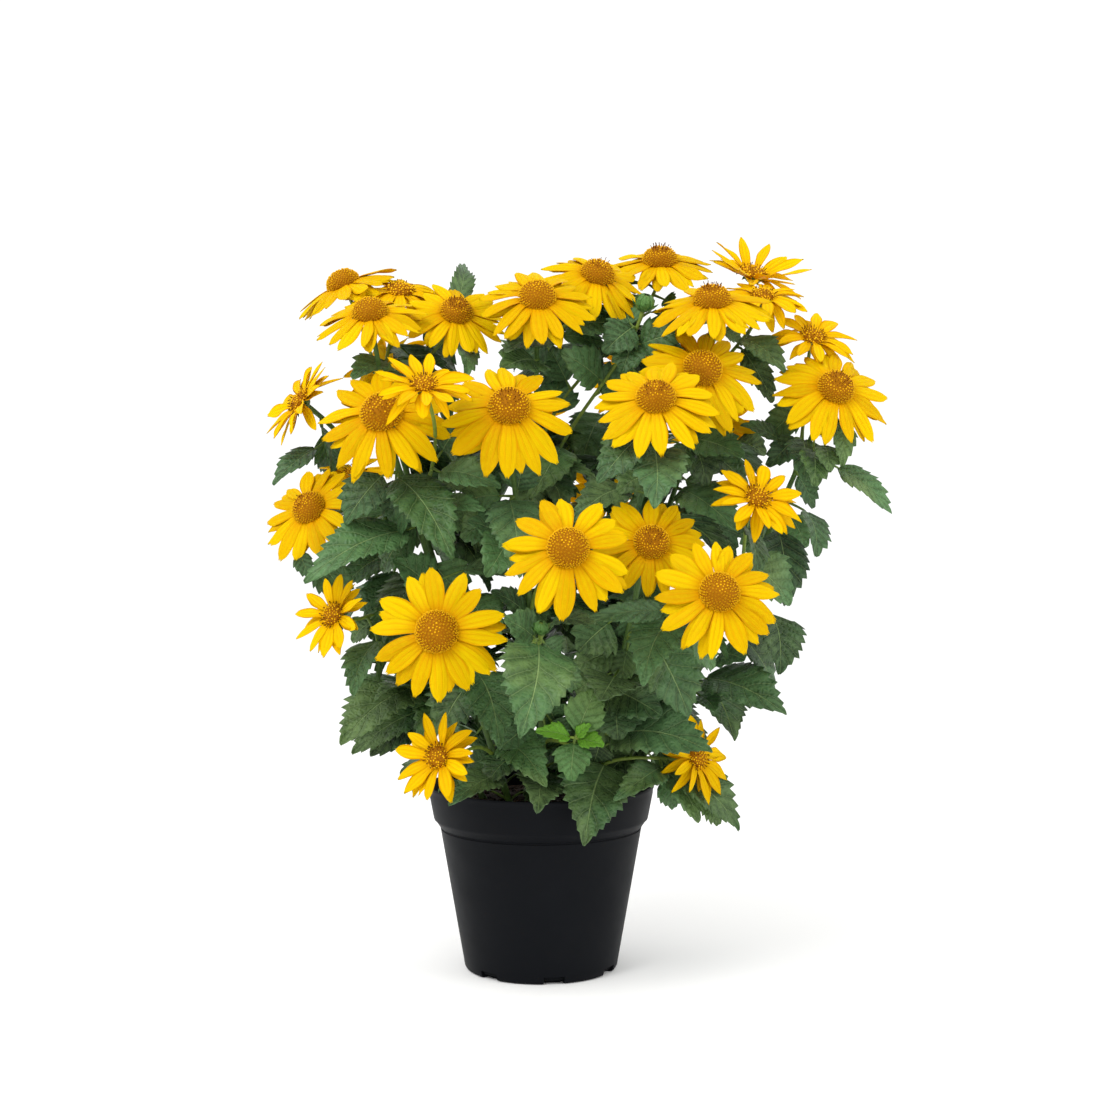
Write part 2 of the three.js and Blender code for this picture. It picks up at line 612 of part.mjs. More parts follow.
// The curve from a start, leaving along a direction, to the back of a flower head. Its middle moves aside.
function curveTo(start, leave, head, sway) {
  const way = facing(head.turn, head.rise);
  const end = head.at.clone().addScaledVector(way, -CUP_DEPTH / 2);
  const reach = start.distanceTo(end);
  const aside = vec(sway[0], sway[1], 0);
  const first = start.clone().addScaledVector(leave, reach * LEAVING).add(aside);
  const second = end.clone().addScaledVector(way, -reach * ARRIVING).add(aside);
  return new THREE.CubicBezierCurve3(start, first, second, end);
}

// The first of some curves whose thickened bar is clear of what doesn't belong to the stem.
function clearWay(curves, form, owner) {
  const way = curves.find((curve) => clear(bar(curve, form, CLEARANCE), (other) => other.owner === owner));
  if (!way) throw new Error(`${owner} finds no clear way`);
  return way;
}

const pot = potSolid();
addPiece("pot", pot, "pot");
settle(pot, "pot", "pot");

BLOOMS.forEach((bloom, index) => {
  const name = `bloom_${String(index + 1).padStart(2, "0")}`;
  const matrix = headMatrix(bloom);
  const down = UP.clone().negate().applyMatrix4(new THREE.Matrix4().extractRotation(matrix).invert());
  const rays = raysSolid(bloom, RAY_SEED + index, down).transform(matrix.elements);
  addPiece(bloom.ripe ? `${name}_rays` : name, rays, "rays");
  settle(rays, name, "rays");
  if (!bloom.ripe) return;
  const disc = discSolid(bloom).transform(matrix.elements);
  addPiece(`${name}_disc`, disc, "disc");
  settle(disc, name, "disc");
});

// Each stem from its foot in the soil to the bloom that crowns it.
const stems = STEMS.map(({ name, foot, lean }, index) => {
  const crown = BLOOMS.find((bloom) => bloom.stem === index && bloom.from === 1);
  const start = vec(foot[0], foot[1], SOIL_TOP - STEM_DEPTH);
  const outward = vec(foot[0], foot[1], 0).normalize();
  const leave = UP.clone().lerp(outward, Math.tan(radians(lean))).normalize();
  const main = clearWay(SWAYS.map((sway) => curveTo(start, leave, crown, sway)), STEM, name);
  const body = bar(main, STEM, 0);
  settle(body, name, "stem");
  return { name, main, ways: [[main, STEM]], body };
});

const holes = stems.map(({ main }) => {
  const deeper = main.clone();
  deeper.v0.z -= GAP;
  return bar(deeper, STEM, CLEARANCE);
});
const soil = soilSolid(holes);
addPiece("soil", soil, "soil");
settle(soil, "soil", "soil");

// The cups and buds, each on its stalk from its stem.
[...BLOOMS, ...BUDS].forEach((head) => {
  const stem = stems[head.stem];
  if (head.from < 1) {
    const ways = START_DROPS.flatMap((drop) => {
      const start = axisPoint(stem.main, STEM, head.from - drop);
      const toward = head.at.clone().sub(start).normalize();
      const leave = stem.main.getTangentAt(head.from - drop).add(toward).normalize();
      return SWAYS.map((sway) => curveTo(start, leave, head, sway));
    });
    const way = clearWay(ways, STALK, stem.name);
    const stalk = bar(way, STALK, 0);
    settle(stalk, stem.name, "stem");
    stem.ways.push([way, STALK]);
    stem.body = stem.body.add(stalk);
  }
  const shape = head.radius ? solidOf(new THREE.IcosahedronGeometry(head.radius, 0)) : cupSolid(head);
  const body = shape.transform(headMatrix(head).elements);
  settle(body, stem.name, "head");
  stem.body = stem.body.add(body);
});

// The leaf on a stem by the first shape that is clear: all of it of what belongs to others, and its blade
// also of the stem's own leaves and heads.
function addLeaf(stem, shapes) {
  const shape = shapes.find((candidate) => {
    const blade = { ...candidate, root: candidate.base.clone().lerp(candidate.root, 0.2) };
    const own = (other) => other.owner === stem.name;
    return (
      clear(leafSolid(candidate, CLEARANCE), own) &&
      clear(leafSolid(blade, GAP / 2), (other) => !own(other) || other.kind === "stem")
    );
  });
  if (!shape) return;
  const body = leafSolid(shape, 0);
  settle(body, stem.name, "leaf");
  stem.body = stem.body.add(body);
}

const joints = stems.flatMap((stem) =>
  stem.ways.flatMap(([curve, form]) =>
    Array.from({ length: CURVE_SAMPLES + 1 - 2 * END_SAMPLES }, (_, i) => ({
      stem,
      at: axisPoint(curve, form, (i + END_SAMPLES) / CURVE_SAMPLES),
    })).filter(({ at }) => at.z > SOIL_TOP + JOINT_HEIGHT),
  ),
);

// The joint nearest to the line of sight through a pixel, and the point on that line nearest to it.
function nearestJoint(u, v) {
  const eye = vec(VIEW.right, -VIEW.away, VIEW.height);
  const sight = seen(u, v, 0).sub(eye).normalize();
  const found = joints.map((joint) => {
    const point = eye.clone().addScaledVector(sight, joint.at.clone().sub(eye).dot(sight));
    return { ...joint, point, cost: point.distanceTo(joint.at) + FRONT_FIRST * joint.at.y };
  });
  return found.reduce((best, joint) => (joint.cost < best.cost ? joint : best));
}

for (const { base: pixel, tip: tipPixel, forward, width, turn, rise } of SEEN_LEAVES) {
  const { at: root, stem, point } = nearestJoint(...pixel);
  const seenBase = point.clone().sub(vec(0, STANDOFF, 0));
  const stalk = seenBase.clone().sub(root);
  const shapes = TIP_SHIFTS.flatMap((shift) => {
    const tip = seen(...tipPixel, seenBase.y - forward + shift);
    const bent = stalk.angleTo(tip.clone().sub(seenBase)) > radians(STALK_BEND);
    const base = bent ? tip.clone().sub(root).setLength(stalk.length()).add(root) : seenBase;
    const faces = FACE_TURNS.map((more) => facing(turn + more, rise));
    return faces.map((face) => ({ root, base, tip, width, face, arch: SEEN_ARCH }));
  });
  addLeaf(stem, shapes);
}

stems.forEach((stem, stemIndex) => {
  const next = draws(PAIR_SEED * (stemIndex + 1));
  const shares = Array.from({ length: PAIR_SAMPLES }, (_, i) => i / PAIR_SAMPLES);
  const samples = shares.map((share) => axisPoint(stem.main, STEM, share));
  const top = samples[PAIR_SAMPLES - 1].z;
  const lowest = PAIR_FIRST + PAIR_SPACING * next();
  const count = Math.ceil((top * PAIR_TOP_SHARE - lowest) / PAIR_SPACING);
  for (let pair = 0; pair < count; pair += 1) {
    const height = lowest + pair * PAIR_SPACING;
    const root = samples.find((at) => at.z >= height);
    const first = 90 * (pair % 2) + 180 * next();
    const full = between(LONGEST_LEAF, SHORTEST_LEAF, (height - PAIR_FIRST) / (top - PAIR_FIRST));
    const length = full * between(1 - LEAF_SPREAD, 1 + LEAF_SPREAD, next());
    for (const side of [first, first + 180]) {
      const shapes = PAIR_HANGS.flatMap((hang) =>
        PAIR_TURNS.map((more) => {
          const base = root.clone().addScaledVector(facing(side + more, LEAF_STALK_RISE), LEAF_STALK_LENGTH);
          const tip = base.clone().addScaledVector(facing(side + more, -hang), length);
          const face = facing(side + more, PAIR_FACE_RISE);
          return { root, base, tip, width: length * WIDTH_SHARE, face, arch: PAIR_ARCH, plain: true };
        }),
      );
      addLeaf(stem, shapes.filter(({ tip }) => tip.y > FRONT_LIMIT && tip.z > LOWEST_TIP));
    }
  }
});

for (const { name, body } of stems) addPiece(name, body, "leaf");

export default group;
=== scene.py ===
"""A false sunflower in full flower in its black nursery pot: fine leaves, petals, florets, soil and pot in
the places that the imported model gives, with a plain stage, soft light and the reference view's camera."""

import bisect
import math
import random
from typing import NamedTuple

import bmesh
import bpy
from mathutils import Matrix, Vector, kdtree, noise


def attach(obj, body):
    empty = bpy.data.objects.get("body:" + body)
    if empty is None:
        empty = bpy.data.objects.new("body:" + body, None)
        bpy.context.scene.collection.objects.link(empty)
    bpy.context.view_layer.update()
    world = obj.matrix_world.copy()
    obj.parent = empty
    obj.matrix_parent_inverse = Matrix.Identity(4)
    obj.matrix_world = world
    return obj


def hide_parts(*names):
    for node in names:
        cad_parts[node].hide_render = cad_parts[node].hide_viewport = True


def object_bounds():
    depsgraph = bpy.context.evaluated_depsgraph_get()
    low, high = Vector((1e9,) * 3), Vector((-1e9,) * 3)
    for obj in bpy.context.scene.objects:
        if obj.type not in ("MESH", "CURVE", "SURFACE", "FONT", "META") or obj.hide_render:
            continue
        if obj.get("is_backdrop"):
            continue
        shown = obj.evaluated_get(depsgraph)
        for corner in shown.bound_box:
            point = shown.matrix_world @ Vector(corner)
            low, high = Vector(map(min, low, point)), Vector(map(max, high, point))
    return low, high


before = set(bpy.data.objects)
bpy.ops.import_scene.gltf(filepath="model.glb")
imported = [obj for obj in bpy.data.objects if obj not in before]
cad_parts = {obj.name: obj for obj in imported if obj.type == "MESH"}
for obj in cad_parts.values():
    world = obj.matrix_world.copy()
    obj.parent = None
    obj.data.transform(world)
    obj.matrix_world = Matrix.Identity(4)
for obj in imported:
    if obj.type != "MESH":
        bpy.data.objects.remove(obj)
CAD_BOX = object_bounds()

bl_info = {
    "name": "Potted false sunflower",
    "version": (1, 0, 0),
    "blender": (4, 5, 0),
    "location": "View3D > Sidebar > Sunflower",
    "description": "Builds a false sunflower in flower in its nursery pot, piece by piece",
    "category": "Add Mesh",
}

# Everything below is laid out in millimetres, and becomes metres as each mesh is finished.
MM = 0.001
UP = Vector((0, 0, 1))

# The reference view: where the viewer stands, and the square picture's focal length in its own pixels.
VIEW_RIGHT, VIEW_AWAY, VIEW_HEIGHT = 14.6, 1400, 365
VIEW_PITCH, VIEW_FOCAL, VIEW_CENTRE = 2.13, 1827, 560
SENSOR = 36
EYE = Vector((VIEW_RIGHT, -VIEW_AWAY, VIEW_HEIGHT))

# The pot and the soil in it.
RIM_RADIUS, POT_HEIGHT = 87, 141
BAND_HEIGHT, BAND_CHAMFER, BAND_TAPER = 26, 6, 4.5
SHOULDER_RADIUS, FOOT_RADIUS, FOOT_BEVEL = 77.5, 58.5, 2
WALL, FLOOR_THICK = 1.6, 2
SLOT_COUNT, SLOT_FIRST, SLOT_WIDTH, SLOT_HEIGHT, SLOT_REACH = 7, -42, 15, 5.5, 13
SOIL_TOP, SOIL_SWELL, STEM_DEPTH = 127, 3, 22

# Stems and stalks: the radius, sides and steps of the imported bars, which the fine tubes follow.
STEM, STALK = (2.6, 5, 6), (1.5, 3, 4)
LEAVING, ARRIVING = 0.4, 0.3
CUP_DEPTH = 8
SWAYS = [
    (0, 0), (0, 14), (14, 0), (-14, 0), (0, -14), (16, 16), (-16, 16), (0, 30), (28, 0), (-28, 0),
    (28, 24), (-28, 24), (0, 45), (45, 20), (-45, 20),
]
START_DROPS = (0, 0.07, 0.14)

# Blooms as packed: petals in shares of the radius, and the gap and the hub under them.
HUB_SHARE, WIDEST_AT = 0.3, 0.7
SHORTEST_RAY, LONGEST_RAY = 0.93, 1.05
NARROW_HALF, BROAD_HALF = 0.41, 0.47
TIP_LIFT, DROOP = 0.06, 0.1
GAP, HUB_THICK, RAY_SEED = 0.3, 1.2, 100

# Fine petals: where they start on the hub, and the limits of how each bends, rolls, twists, sweeps and
# flutters.
RAY_START, RAY_BEND, RAY_ROLL, RAY_TWIST = 0.72, (-0.14, 0.08), (-0.2, 0.2), (-0.5, 0.5)
RAY_SWEEP, RAY_FLUTTER, RAY_TURN = (-0.11, 0.11), (0.05, 0.25), (0, 6)

# The two rows of petals: how they stray from an even ring, and how far down each petal lies. Those behind
# also have their own reach and width.
FRONT_SWAY, FRONT_LAYER, BEHIND_SWAY, BEHIND_LAYER, LAYER_STEP = 0.05, 0.6, 0.3, 1.4, 0.5
BEHIND_REACH, BEHIND_HALF = (0.86, 1.02), 0.46

# Discs: radius and height as packed, the dome under the florets in shares of them, and what ripe and young
# ones take of them.
DISC_SHARE, DISC_HEIGHT, DOME_SHARE, DOME_RISE = 0.33, 0.76, 0.93, 0.9
RIPE_DISC_RISE, YOUNG_DISC_SHARE, YOUNG_DISC_RISE, YOUNG_DISC_DROP = 1.08, 0.8, 0.45, 0.6

# Florets: how much of a disc is still closed in the three stages of bloom, and how far each leans and strays.
FLORETS_UNOPENED, FLORET_LEAN, FLORET_DRIFT, DISC_SEED = (0.2, 0.34, 0.5), 0.25, 0.38, 500

# The bracts under a bloom, and those in the two rows round a bud.
BRACTS, BUD_INNER_BRACTS, BUD_OUTER_BRACTS = 14, 10, 8

# Leaves as packed: the fold, outline and teeth of a blade, and how the leaves that are seen, and those in
# pairs along each stem, are laid out.
LEAF_FOLD = math.radians(14)
BLADE_SKEW, BLADE_FULLNESS = 0.62, 0.85
TOOTH, NOTCH, TIP_ROOM = (0.75, 1.04), (0.87, 0.82), 0.85
SEEN_ARCH, STANDOFF, STALK_BEND = 0.1, 4, 60
TIP_SHIFTS, FACE_TURNS = (0, 10, -10, 20, -20, 32, -32, 45), (0, 28, -28)
CURVE_SAMPLES, END_SAMPLES, JOINT_HEIGHT, FRONT_FIRST = 40, 2, 6, 0.05
SIDE_VEINS, VEIN_SWEEP, VEIN_CURVE = 6, 1.4, 0.8
PAIR_FIRST, PAIR_SPACING, PAIR_TOP_SHARE, PAIR_SAMPLES = 150, 62, 0.88, 200
LONGEST_LEAF, SHORTEST_LEAF, LEAF_SPREAD, WIDTH_SHARE = 96, 68, 0.15, 0.58
LEAF_STALK_LENGTH, LEAF_STALK_RISE, PAIR_FACE_RISE, PAIR_ARCH = 14, 30, 50, 0.14
LOW_LEAVES, LOWEST_TIP = 250, 165
FRONT_LIMIT, PAIR_TURNS, PAIR_HANGS, PAIR_SEED = -45, (0, 20, -20, 40, -40), (36, 50, 20), 5050

# The inner leaves: the turn from node to node, the tries at each place, and the limits of what is drawn for
# one. The low ones are shorter, hang less and may reach further forward.
SPIRAL_TURN, NODE_FIRST, NODE_LAST, INNER_TRIES, INNER_SEED = 137.5, 0.6, 0.9, 7, 9
INNER_LENGTH, INNER_WIDTH, INNER_STALK = (46, 78), (0.52, 0.68), (8, 18)
INNER_HANG, INNER_SWING = (15, 60), 40
LOW_LENGTH, LOW_LIFT, LOW_FORWARD = (34, 66), 20, 25

# The room that is kept between leaves, and round a bloom: beside, behind and before it. A bloom that looks
# this far away from the viewer may be covered.
INNER_ROOM, MORE_ROOM = 6, 5
ROOM_BESIDE, ROOM_BEHIND, ROOM_BEFORE, TURNED_AWAY = 3, 6, 0.7, 0.3

# Fine leaves: the numbers of teeth and the limits of their depth, how far the tip curls and the blade sweeps,
# and how deep the teeth, the narrowing to the tip, the waves and the bulges between veins are.
FEWEST_TEETH, MOST_TEETH, TOOTH_DRAWN, LEAF_SEED = 5, 14, (0.6, 1.3), 40
LEAF_CURL, LEAF_SWEEP = (-0.02, 0.06), 0.04
TOOTH_END, TOOTH_DEPTH, TOOTH_LEAN, TIP_TAPER, RIPPLE, BULGE = 0.67, 0.17, 0.4, 0.14, 0.024, 0.085

# How young a leaf of each look is, and the look of one that shows its pale underside.
YOUTHS, PALE_LOOK, PALE_SHADE = {1: 1, 3: 0.18}, 2, 0.9
LEAF_YOUTH, LEAF_SHADE = (0, 0.12), (0, 0.8)

# A leafy stem's material slots, and the radii of its tubes from foot to end.
TOP_SKIN, BACK_SKIN, STEM_SKIN = 0, 1, 2
STEM_RADII, STALK_RADII, SHOOT_RADII = (2.7, 1.8), (1.7, 1.35), (1.5, 1)
LEAF_STALK_RADII, MIDRIB_RADII = (1.25, 0.8), (0.7, 0.15)

# The squares across and along each blade's grid.
LEAF_ACROSS, TOOTH_SQUARES, RAY_GRID, BRACT_GRID = 10, 3, (6, 11), (2, 6)

# The share of a tube's length over which its direction is taken.
NUDGE = 0.01

# The soil's rings, and the crumbs on it: their sizes, and how they are stretched along each side.
SOIL_RINGS, SOIL_SEED = 22, 3
CRUMB_SIZE, CRUMB_STRETCH = (0.7, 2.1), ((0.8, 2.2), (0.7, 1.1), (0.4, 0.8))

# The edges of the pot that turn more than this many degrees look sharp.
EDGE_ANGLE = 35

# The stage in metres: the round floor, just under the pot, and where the lamps aim.
FLOOR_RADIUS, FLOOR_DROP, LAMP_AIM = 12, 0.0004, (0, 0, 0.3)

# The leafy stems: name, foot to the right and away, and lean out of the upright there.
STEMS = [
    ("stem_west", -27, -9, 24), ("stem_southwest", -15, -26, 20), ("stem_south", 3, -31, 12),
    ("stem_southeast", 20, -23, 20), ("stem_east", 30, -5, 26), ("stem_northeast", 22, 17, 12),
    ("stem_north", 1, 25, 6), ("stem_northwest", -21, 15, 14),
]

# The blooms: ripe or not, stem, pixel and depth of the foot, span, turn, rise, rise of the rays, and share
# up the stem.
BLOOMS = [
    (0, 0, 300, 401, -20, 72, -60, 32, 6, 1),
    (1, 0, 310, 509, -60, 80, -28, 32, -4, 0.7),
    (0, 0, 333, 615, -85, 62, -35, 22, 12, 0.45),
    (0, 0, 354, 474, -10, 60, -15, 62, 0, 0.8),
    (1, 1, 382, 414, -105, 95, -6, 32, -16, 1),
    (0, 1, 424, 385, -150, 66, 8, 52, 6, 0.72),
    (1, 1, 437, 632, -150, 92, -4, 12, -2, 0.42),
    (0, 1, 438, 757, -125, 64, -30, 18, 16, 0.2),
    (1, 2, 509, 408, -125, 92, 2, 34, -16, 1),
    (1, 2, 568, 549, -185, 88, 0, 24, -8, 0.5),
    (1, 3, 656, 399, -132, 86, -4, 38, -10, 1),
    (1, 3, 651, 543, -138, 78, 6, 26, -4, 0.62),
    (1, 3, 719, 593, -172, 86, 6, 24, -8, 0.46),
    (0, 3, 697, 757, -45, 66, 46, 16, 6, 0.16),
    (1, 4, 835, 389, -55, 86, 14, 34, -12, 1),
    (0, 4, 757, 498, -115, 66, 18, 38, 10, 0.5),
    (0, 4, 813, 337, -15, 68, 12, 50, 2, 0.8),
    (1, 5, 712, 302, -60, 88, -4, 62, -8, 1),
    (1, 5, 702, 370, -75, 90, 12, 30, -14, 0.78),
    (0, 5, 763, 296, -5, 70, 8, 62, -2, 0.82),
    (0, 5, 754, 274, 45, 80, 28, 58, 26, 0.9),
    (1, 6, 537, 298, -70, 84, 2, 44, -8, 1),
    (1, 6, 597, 276, -22, 82, 22, 50, -14, 0.85),
    (1, 6, 660, 262, 26, 84, -2, 62, -6, 0.7),
    (1, 7, 370, 314, -60, 82, -8, 58, -10, 1),
    (0, 7, 400, 291, -5, 78, 12, 60, -14, 0.86),
    (1, 7, 456, 313, -38, 76, 12, 42, -6, 0.8),
    (1, 7, 344, 285, 10, 82, -55, 62, -8, 0.7),
    (0, 7, 385, 372, 92, 84, -135, 40, -6, 0.66),
    (0, 6, 522, 424, 142, 86, 190, 46, -8, 0.66),
    (0, 6, 640, 372, 122, 84, 165, 44, -10, 0.6),
    (0, 5, 716, 424, 96, 80, 160, 38, -6, 0.66),
    (0, 5, 610, 500, 122, 84, 172, 30, -6, 0.4),
]

# The buds: stem, pixel and depth, radius, turn, rise, share up the stem.
BUDS = [(2, 541, 628, -150, 5, 5, 60, 0.42), (6, 645, 303, -48, 7, 25, 60, 0.6)]

# The leaves seen in the reference view: pixels of base and tip, how far the tip comes forward, width, turn
# and rise of the upper side, and its look: 1 where it is young and bright, 2 where it is pale.
SEEN_LEAVES = [
    (399, 478, 453, 562, 60, 43, 10, 30, 0), (408, 530, 304, 580, 45, 43, -25, 25, 0),
    (440, 472, 500, 486, 25, 29, 0, 40, 2), (440, 505, 486, 511, 30, 17, 0, 25, 2),
    (424, 684, 341, 747, 60, 58, -20, 40, 0), (477, 672, 500, 747, 60, 40, 5, 25, 0),
    (548, 640, 520, 738, 65, 52, 5, 20, 0), (536, 622, 492, 591, 20, 25, -5, 40, 0),
    (552, 622, 594, 622, 30, 20, 5, 45, 0), (668, 612, 582, 621, 40, 17, -10, 10, 2),
    (668, 622, 643, 682, 50, 38, -10, 25, 0), (684, 668, 786, 711, 50, 49, 20, 35, 0),
    (674, 674, 715, 711, 25, 27, 25, 10, 0), (640, 668, 600, 700, 40, 43, -5, 30, 0),
    (612, 734, 713, 754, 50, 52, 8, 38, 0), (590, 728, 598, 686, 20, 34, 5, 25, 0),
    (604, 764, 585, 843, 70, 56, 2, 12, 0), (660, 767, 615, 798, 60, 27, 0, 32, 0),
    (662, 778, 741, 829, 30, 44, 15, 30, 0), (499, 774, 449, 803, 55, 27, -8, 32, 0),
    (505, 742, 545, 784, 50, 34, 5, 30, 0), (526, 772, 538, 812, 66, 36, 5, 14, 0),
    (575, 735, 535, 732, 25, 17, -10, 45, 1), (575, 735, 602, 741, 25, 16, 15, 45, 1),
    (578, 741, 571, 779, 30, 25, 5, 20, 0), (378, 640, 352, 694, 30, 29, -25, 20, 0),
    (316, 449, 273, 485, 20, 25, -20, 45, 0), (320, 418, 329, 478, 20, 22, 65, 10, 0),
    (385, 361, 352, 378, 20, 27, -10, 40, 0), (470, 330, 464, 263, -60, 18, -10, 10, 0),
    (460, 340, 466, 376, 30, 22, 40, 15, 2), (558, 364, 502, 368, 40, 43, -5, 28, 0),
    (562, 338, 505, 352, 30, 36, -10, 28, 0), (590, 350, 640, 342, 30, 29, 0, 40, 0),
    (640, 330, 612, 300, -20, 34, -10, 35, 0), (602, 415, 580, 470, 45, 40, -5, 25, 0),
    (540, 464, 595, 480, 35, 20, 0, 50, 0), (626, 488, 574, 519, 40, 31, -5, 35, 0),
    (652, 440, 655, 508, 45, 43, 0, 22, 0), (682, 430, 675, 480, 35, 20, 5, 15, 0),
    (690, 433, 744, 457, 30, 38, 10, 30, 0), (681, 489, 738, 530, 40, 40, 10, 30, 0),
    (742, 339, 785, 371, 30, 29, 15, 35, 0), (783, 422, 804, 480, 35, 31, 10, 15, 0),
    (779, 441, 740, 426, 20, 18, -10, 35, 0), (833, 441, 814, 486, 25, 29, 20, 10, 0),
    (838, 468, 893, 512, 15, 25, 20, 40, 2), (746, 527, 755, 575, 30, 27, 45, 10, 0),
    (778, 532, 784, 606, 30, 40, 20, 10, 0), (806, 512, 818, 555, 25, 29, 40, 20, 0),
    (772, 614, 781, 673, 30, 42, 25, 10, 0), (500, 560, 470, 520, 30, 38, -5, 35, 0),
    (510, 500, 520, 575, 50, 38, 0, 20, 0), (470, 600, 500, 640, 30, 38, 5, 25, 0),
    (560, 440, 530, 500, 40, 38, -10, 25, 0), (610, 590, 650, 630, 30, 38, 10, 30, 0),
    (700, 640, 745, 660, 20, 38, 15, 30, 0), (430, 590, 395, 560, 20, 38, -10, 35, 0),
    (605, 385, 560, 352, 20, 36, -5, 25, 0), (598, 400, 634, 372, 20, 34, 5, 25, 0),
    (548, 420, 560, 380, -15, 38, 0, 20, 0), (640, 345, 690, 330, 20, 34, 10, 25, 0),
    (492, 518, 486, 576, 30, 36, -10, 30, 0), (600, 470, 556, 502, 0, 34, -5, 30, 0),
    (430, 472, 398, 534, 0, 38, -10, 25, 0), (388, 560, 372, 640, 10, 36, -10, 20, 0),
    (432, 552, 466, 596, 0, 42, 0, 25, 0), (545, 642, 505, 618, 10, 32, -5, 35, 0),
    (600, 596, 578, 652, 0, 42, 0, 20, 0), (652, 640, 690, 716, 10, 50, 10, 30, 0),
    (636, 690, 618, 740, 5, 40, 0, 20, 0), (700, 496, 734, 560, 0, 42, 20, 25, 0),
    (640, 436, 598, 482, 5, 34, -10, 30, 0), (806, 405, 766, 438, 0, 30, 10, 40, 0),
    (560, 322, 625, 328, -10, 40, 0, 45, 0), (578, 398, 548, 346, -10, 28, 0, 30, 0),
    (448, 470, 462, 424, 0, 30, 0, 30, 0), (472, 676, 440, 732, 10, 42, -10, 30, 0),
    (572, 690, 548, 742, 0, 42, 0, 20, 0), (500, 496, 456, 506, 0, 30, 0, 40, 0),
    (520, 500, 524, 458, 0, 28, 0, 30, 0), (382, 476, 345, 524, 0, 38, -15, 30, 0),
    (738, 556, 792, 604, 0, 42, 20, 25, 0), (740, 636, 776, 694, 0, 44, 20, 30, 0),
    (615, 690, 662, 716, 0, 44, 5, 30, 0), (596, 700, 566, 726, 0, 40, -5, 30, 0),
]

# More leaves of the reference view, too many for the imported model, in the same order.
MORE_LEAVES = [
    (436, 706, 352, 754, 20, 40, -20, 40, 0), (668, 772, 700, 822, 20, 34, 10, 25, 0),
    (404, 548, 345, 584, 10, 34, -15, 35, 0), (702, 446, 748, 486, 5, 30, 10, 35, 0),
    (628, 770, 600, 812, 20, 30, -5, 25, 0), (520, 752, 486, 786, 20, 34, -5, 30, 0),
    (424, 722, 370, 756, 10, 36, -20, 35, 0), (690, 440, 706, 486, 0, 34, 10, 25, 0),
    (650, 338, 622, 372, 10, 30, -5, 30, 0), (655, 470, 618, 492, 10, 30, -10, 30, 0),
    (738, 424, 766, 454, 5, 32, 15, 30, 0), (490, 500, 462, 540, 0, 34, -10, 25, 0),
    (548, 338, 520, 362, -5, 30, -5, 30, 0), (632, 328, 604, 352, 0, 30, -5, 30, 0),
    (530, 722, 500, 748, 5, 34, -5, 25, 0), (640, 748, 606, 777, 10, 36, -5, 30, 0),
    (600, 660, 575, 692, 0, 32, -5, 25, 0), (425, 520, 382, 572, -20, 44, -10, 20, 0),
    (612, 650, 572, 668, -10, 30, -5, 25, 0), (528, 698, 498, 720, -10, 34, -5, 25, 0),
    (560, 740, 530, 762, -5, 30, 0, 25, 0), (634, 704, 606, 736, -10, 34, 5, 25, 0),
    (846, 432, 830, 470, 5, 24, 20, 20, 0), (797, 505, 806, 548, 0, 24, 20, 25, 0),
    (448, 335, 456, 374, 0, 24, 10, 20, 0), (375, 600, 352, 642, -10, 26, -20, 20, 0),
    (495, 722, 468, 744, 0, 26, -5, 25, 0), (500, 752, 468, 766, 0, 24, -5, 30, 0),
    (640, 645, 622, 682, -10, 26, 5, 25, 0), (690, 628, 712, 670, -10, 30, 10, 25, 0),
    (612, 735, 594, 762, -5, 26, 0, 25, 0), (682, 750, 654, 772, 0, 26, 5, 30, 0),
    (568, 684, 556, 722, -25, 32, 0, 15, 0), (572, 728, 540, 760, -25, 38, 0, 15, 0),
    (600, 722, 572, 752, -30, 36, 0, 15, 0), (650, 596, 640, 640, -20, 34, 0, 20, 0),
    (320, 560, 350, 600, -10, 30, -20, 25, 0), (742, 350, 774, 402, 0, 24, 10, 25, 0),
    (300, 420, 327, 474, 0, 24, -10, 20, 0), (790, 472, 814, 508, 0, 20, 20, 25, 0),
    (558, 334, 595, 345, -10, 17, 0, 35, 0), (838, 420, 842, 466, 0, 20, 20, 20, 0),
    (794, 438, 767, 466, 0, 22, 10, 30, 0), (648, 290, 675, 304, 0, 16, 0, 30, 0),
    (464, 570, 515, 575, -25, 16, 0, 35, 0), (300, 552, 311, 579, 0, 15, -20, 25, 0),
    (720, 328, 742, 342, 0, 15, 10, 30, 0), (769, 327, 747, 337, 0, 13, 10, 30, 0),
    (660, 780, 674, 808, 10, 22, 5, 20, 0), (700, 800, 718, 825, 10, 20, 10, 20, 0),
    (494, 628, 515, 650, -20, 20, 0, 25, 0), (383, 473, 394, 525, -25, 26, -10, 20, 0),
    (450, 504, 470, 530, -25, 22, 0, 25, 0), (674, 468, 702, 492, -20, 18, 0, 25, 0),
    (438, 480, 468, 491, -20, 15, 0, 30, 0), (545, 630, 557, 658, -30, 24, 0, 20, 0),
    (561, 706, 566, 738, -30, 24, 0, 20, 0), (600, 726, 612, 770, -30, 30, 0, 20, 0),
    (638, 740, 664, 768, -30, 22, 0, 20, 0), (627, 638, 641, 686, -30, 24, 0, 20, 0),
    (652, 686, 672, 714, -30, 22, 0, 20, 0), (569, 660, 579, 688, -30, 20, 0, 20, 0),
]

# Where the background shows between the leaves in the reference view: pixel and radius.
OPENINGS = [
    (587, 402, 30), (485, 362, 26), (762, 462, 26), (484, 590, 20), (430, 560, 16), (735, 722, 26),
    (505, 488, 10), (765, 400, 20),
]

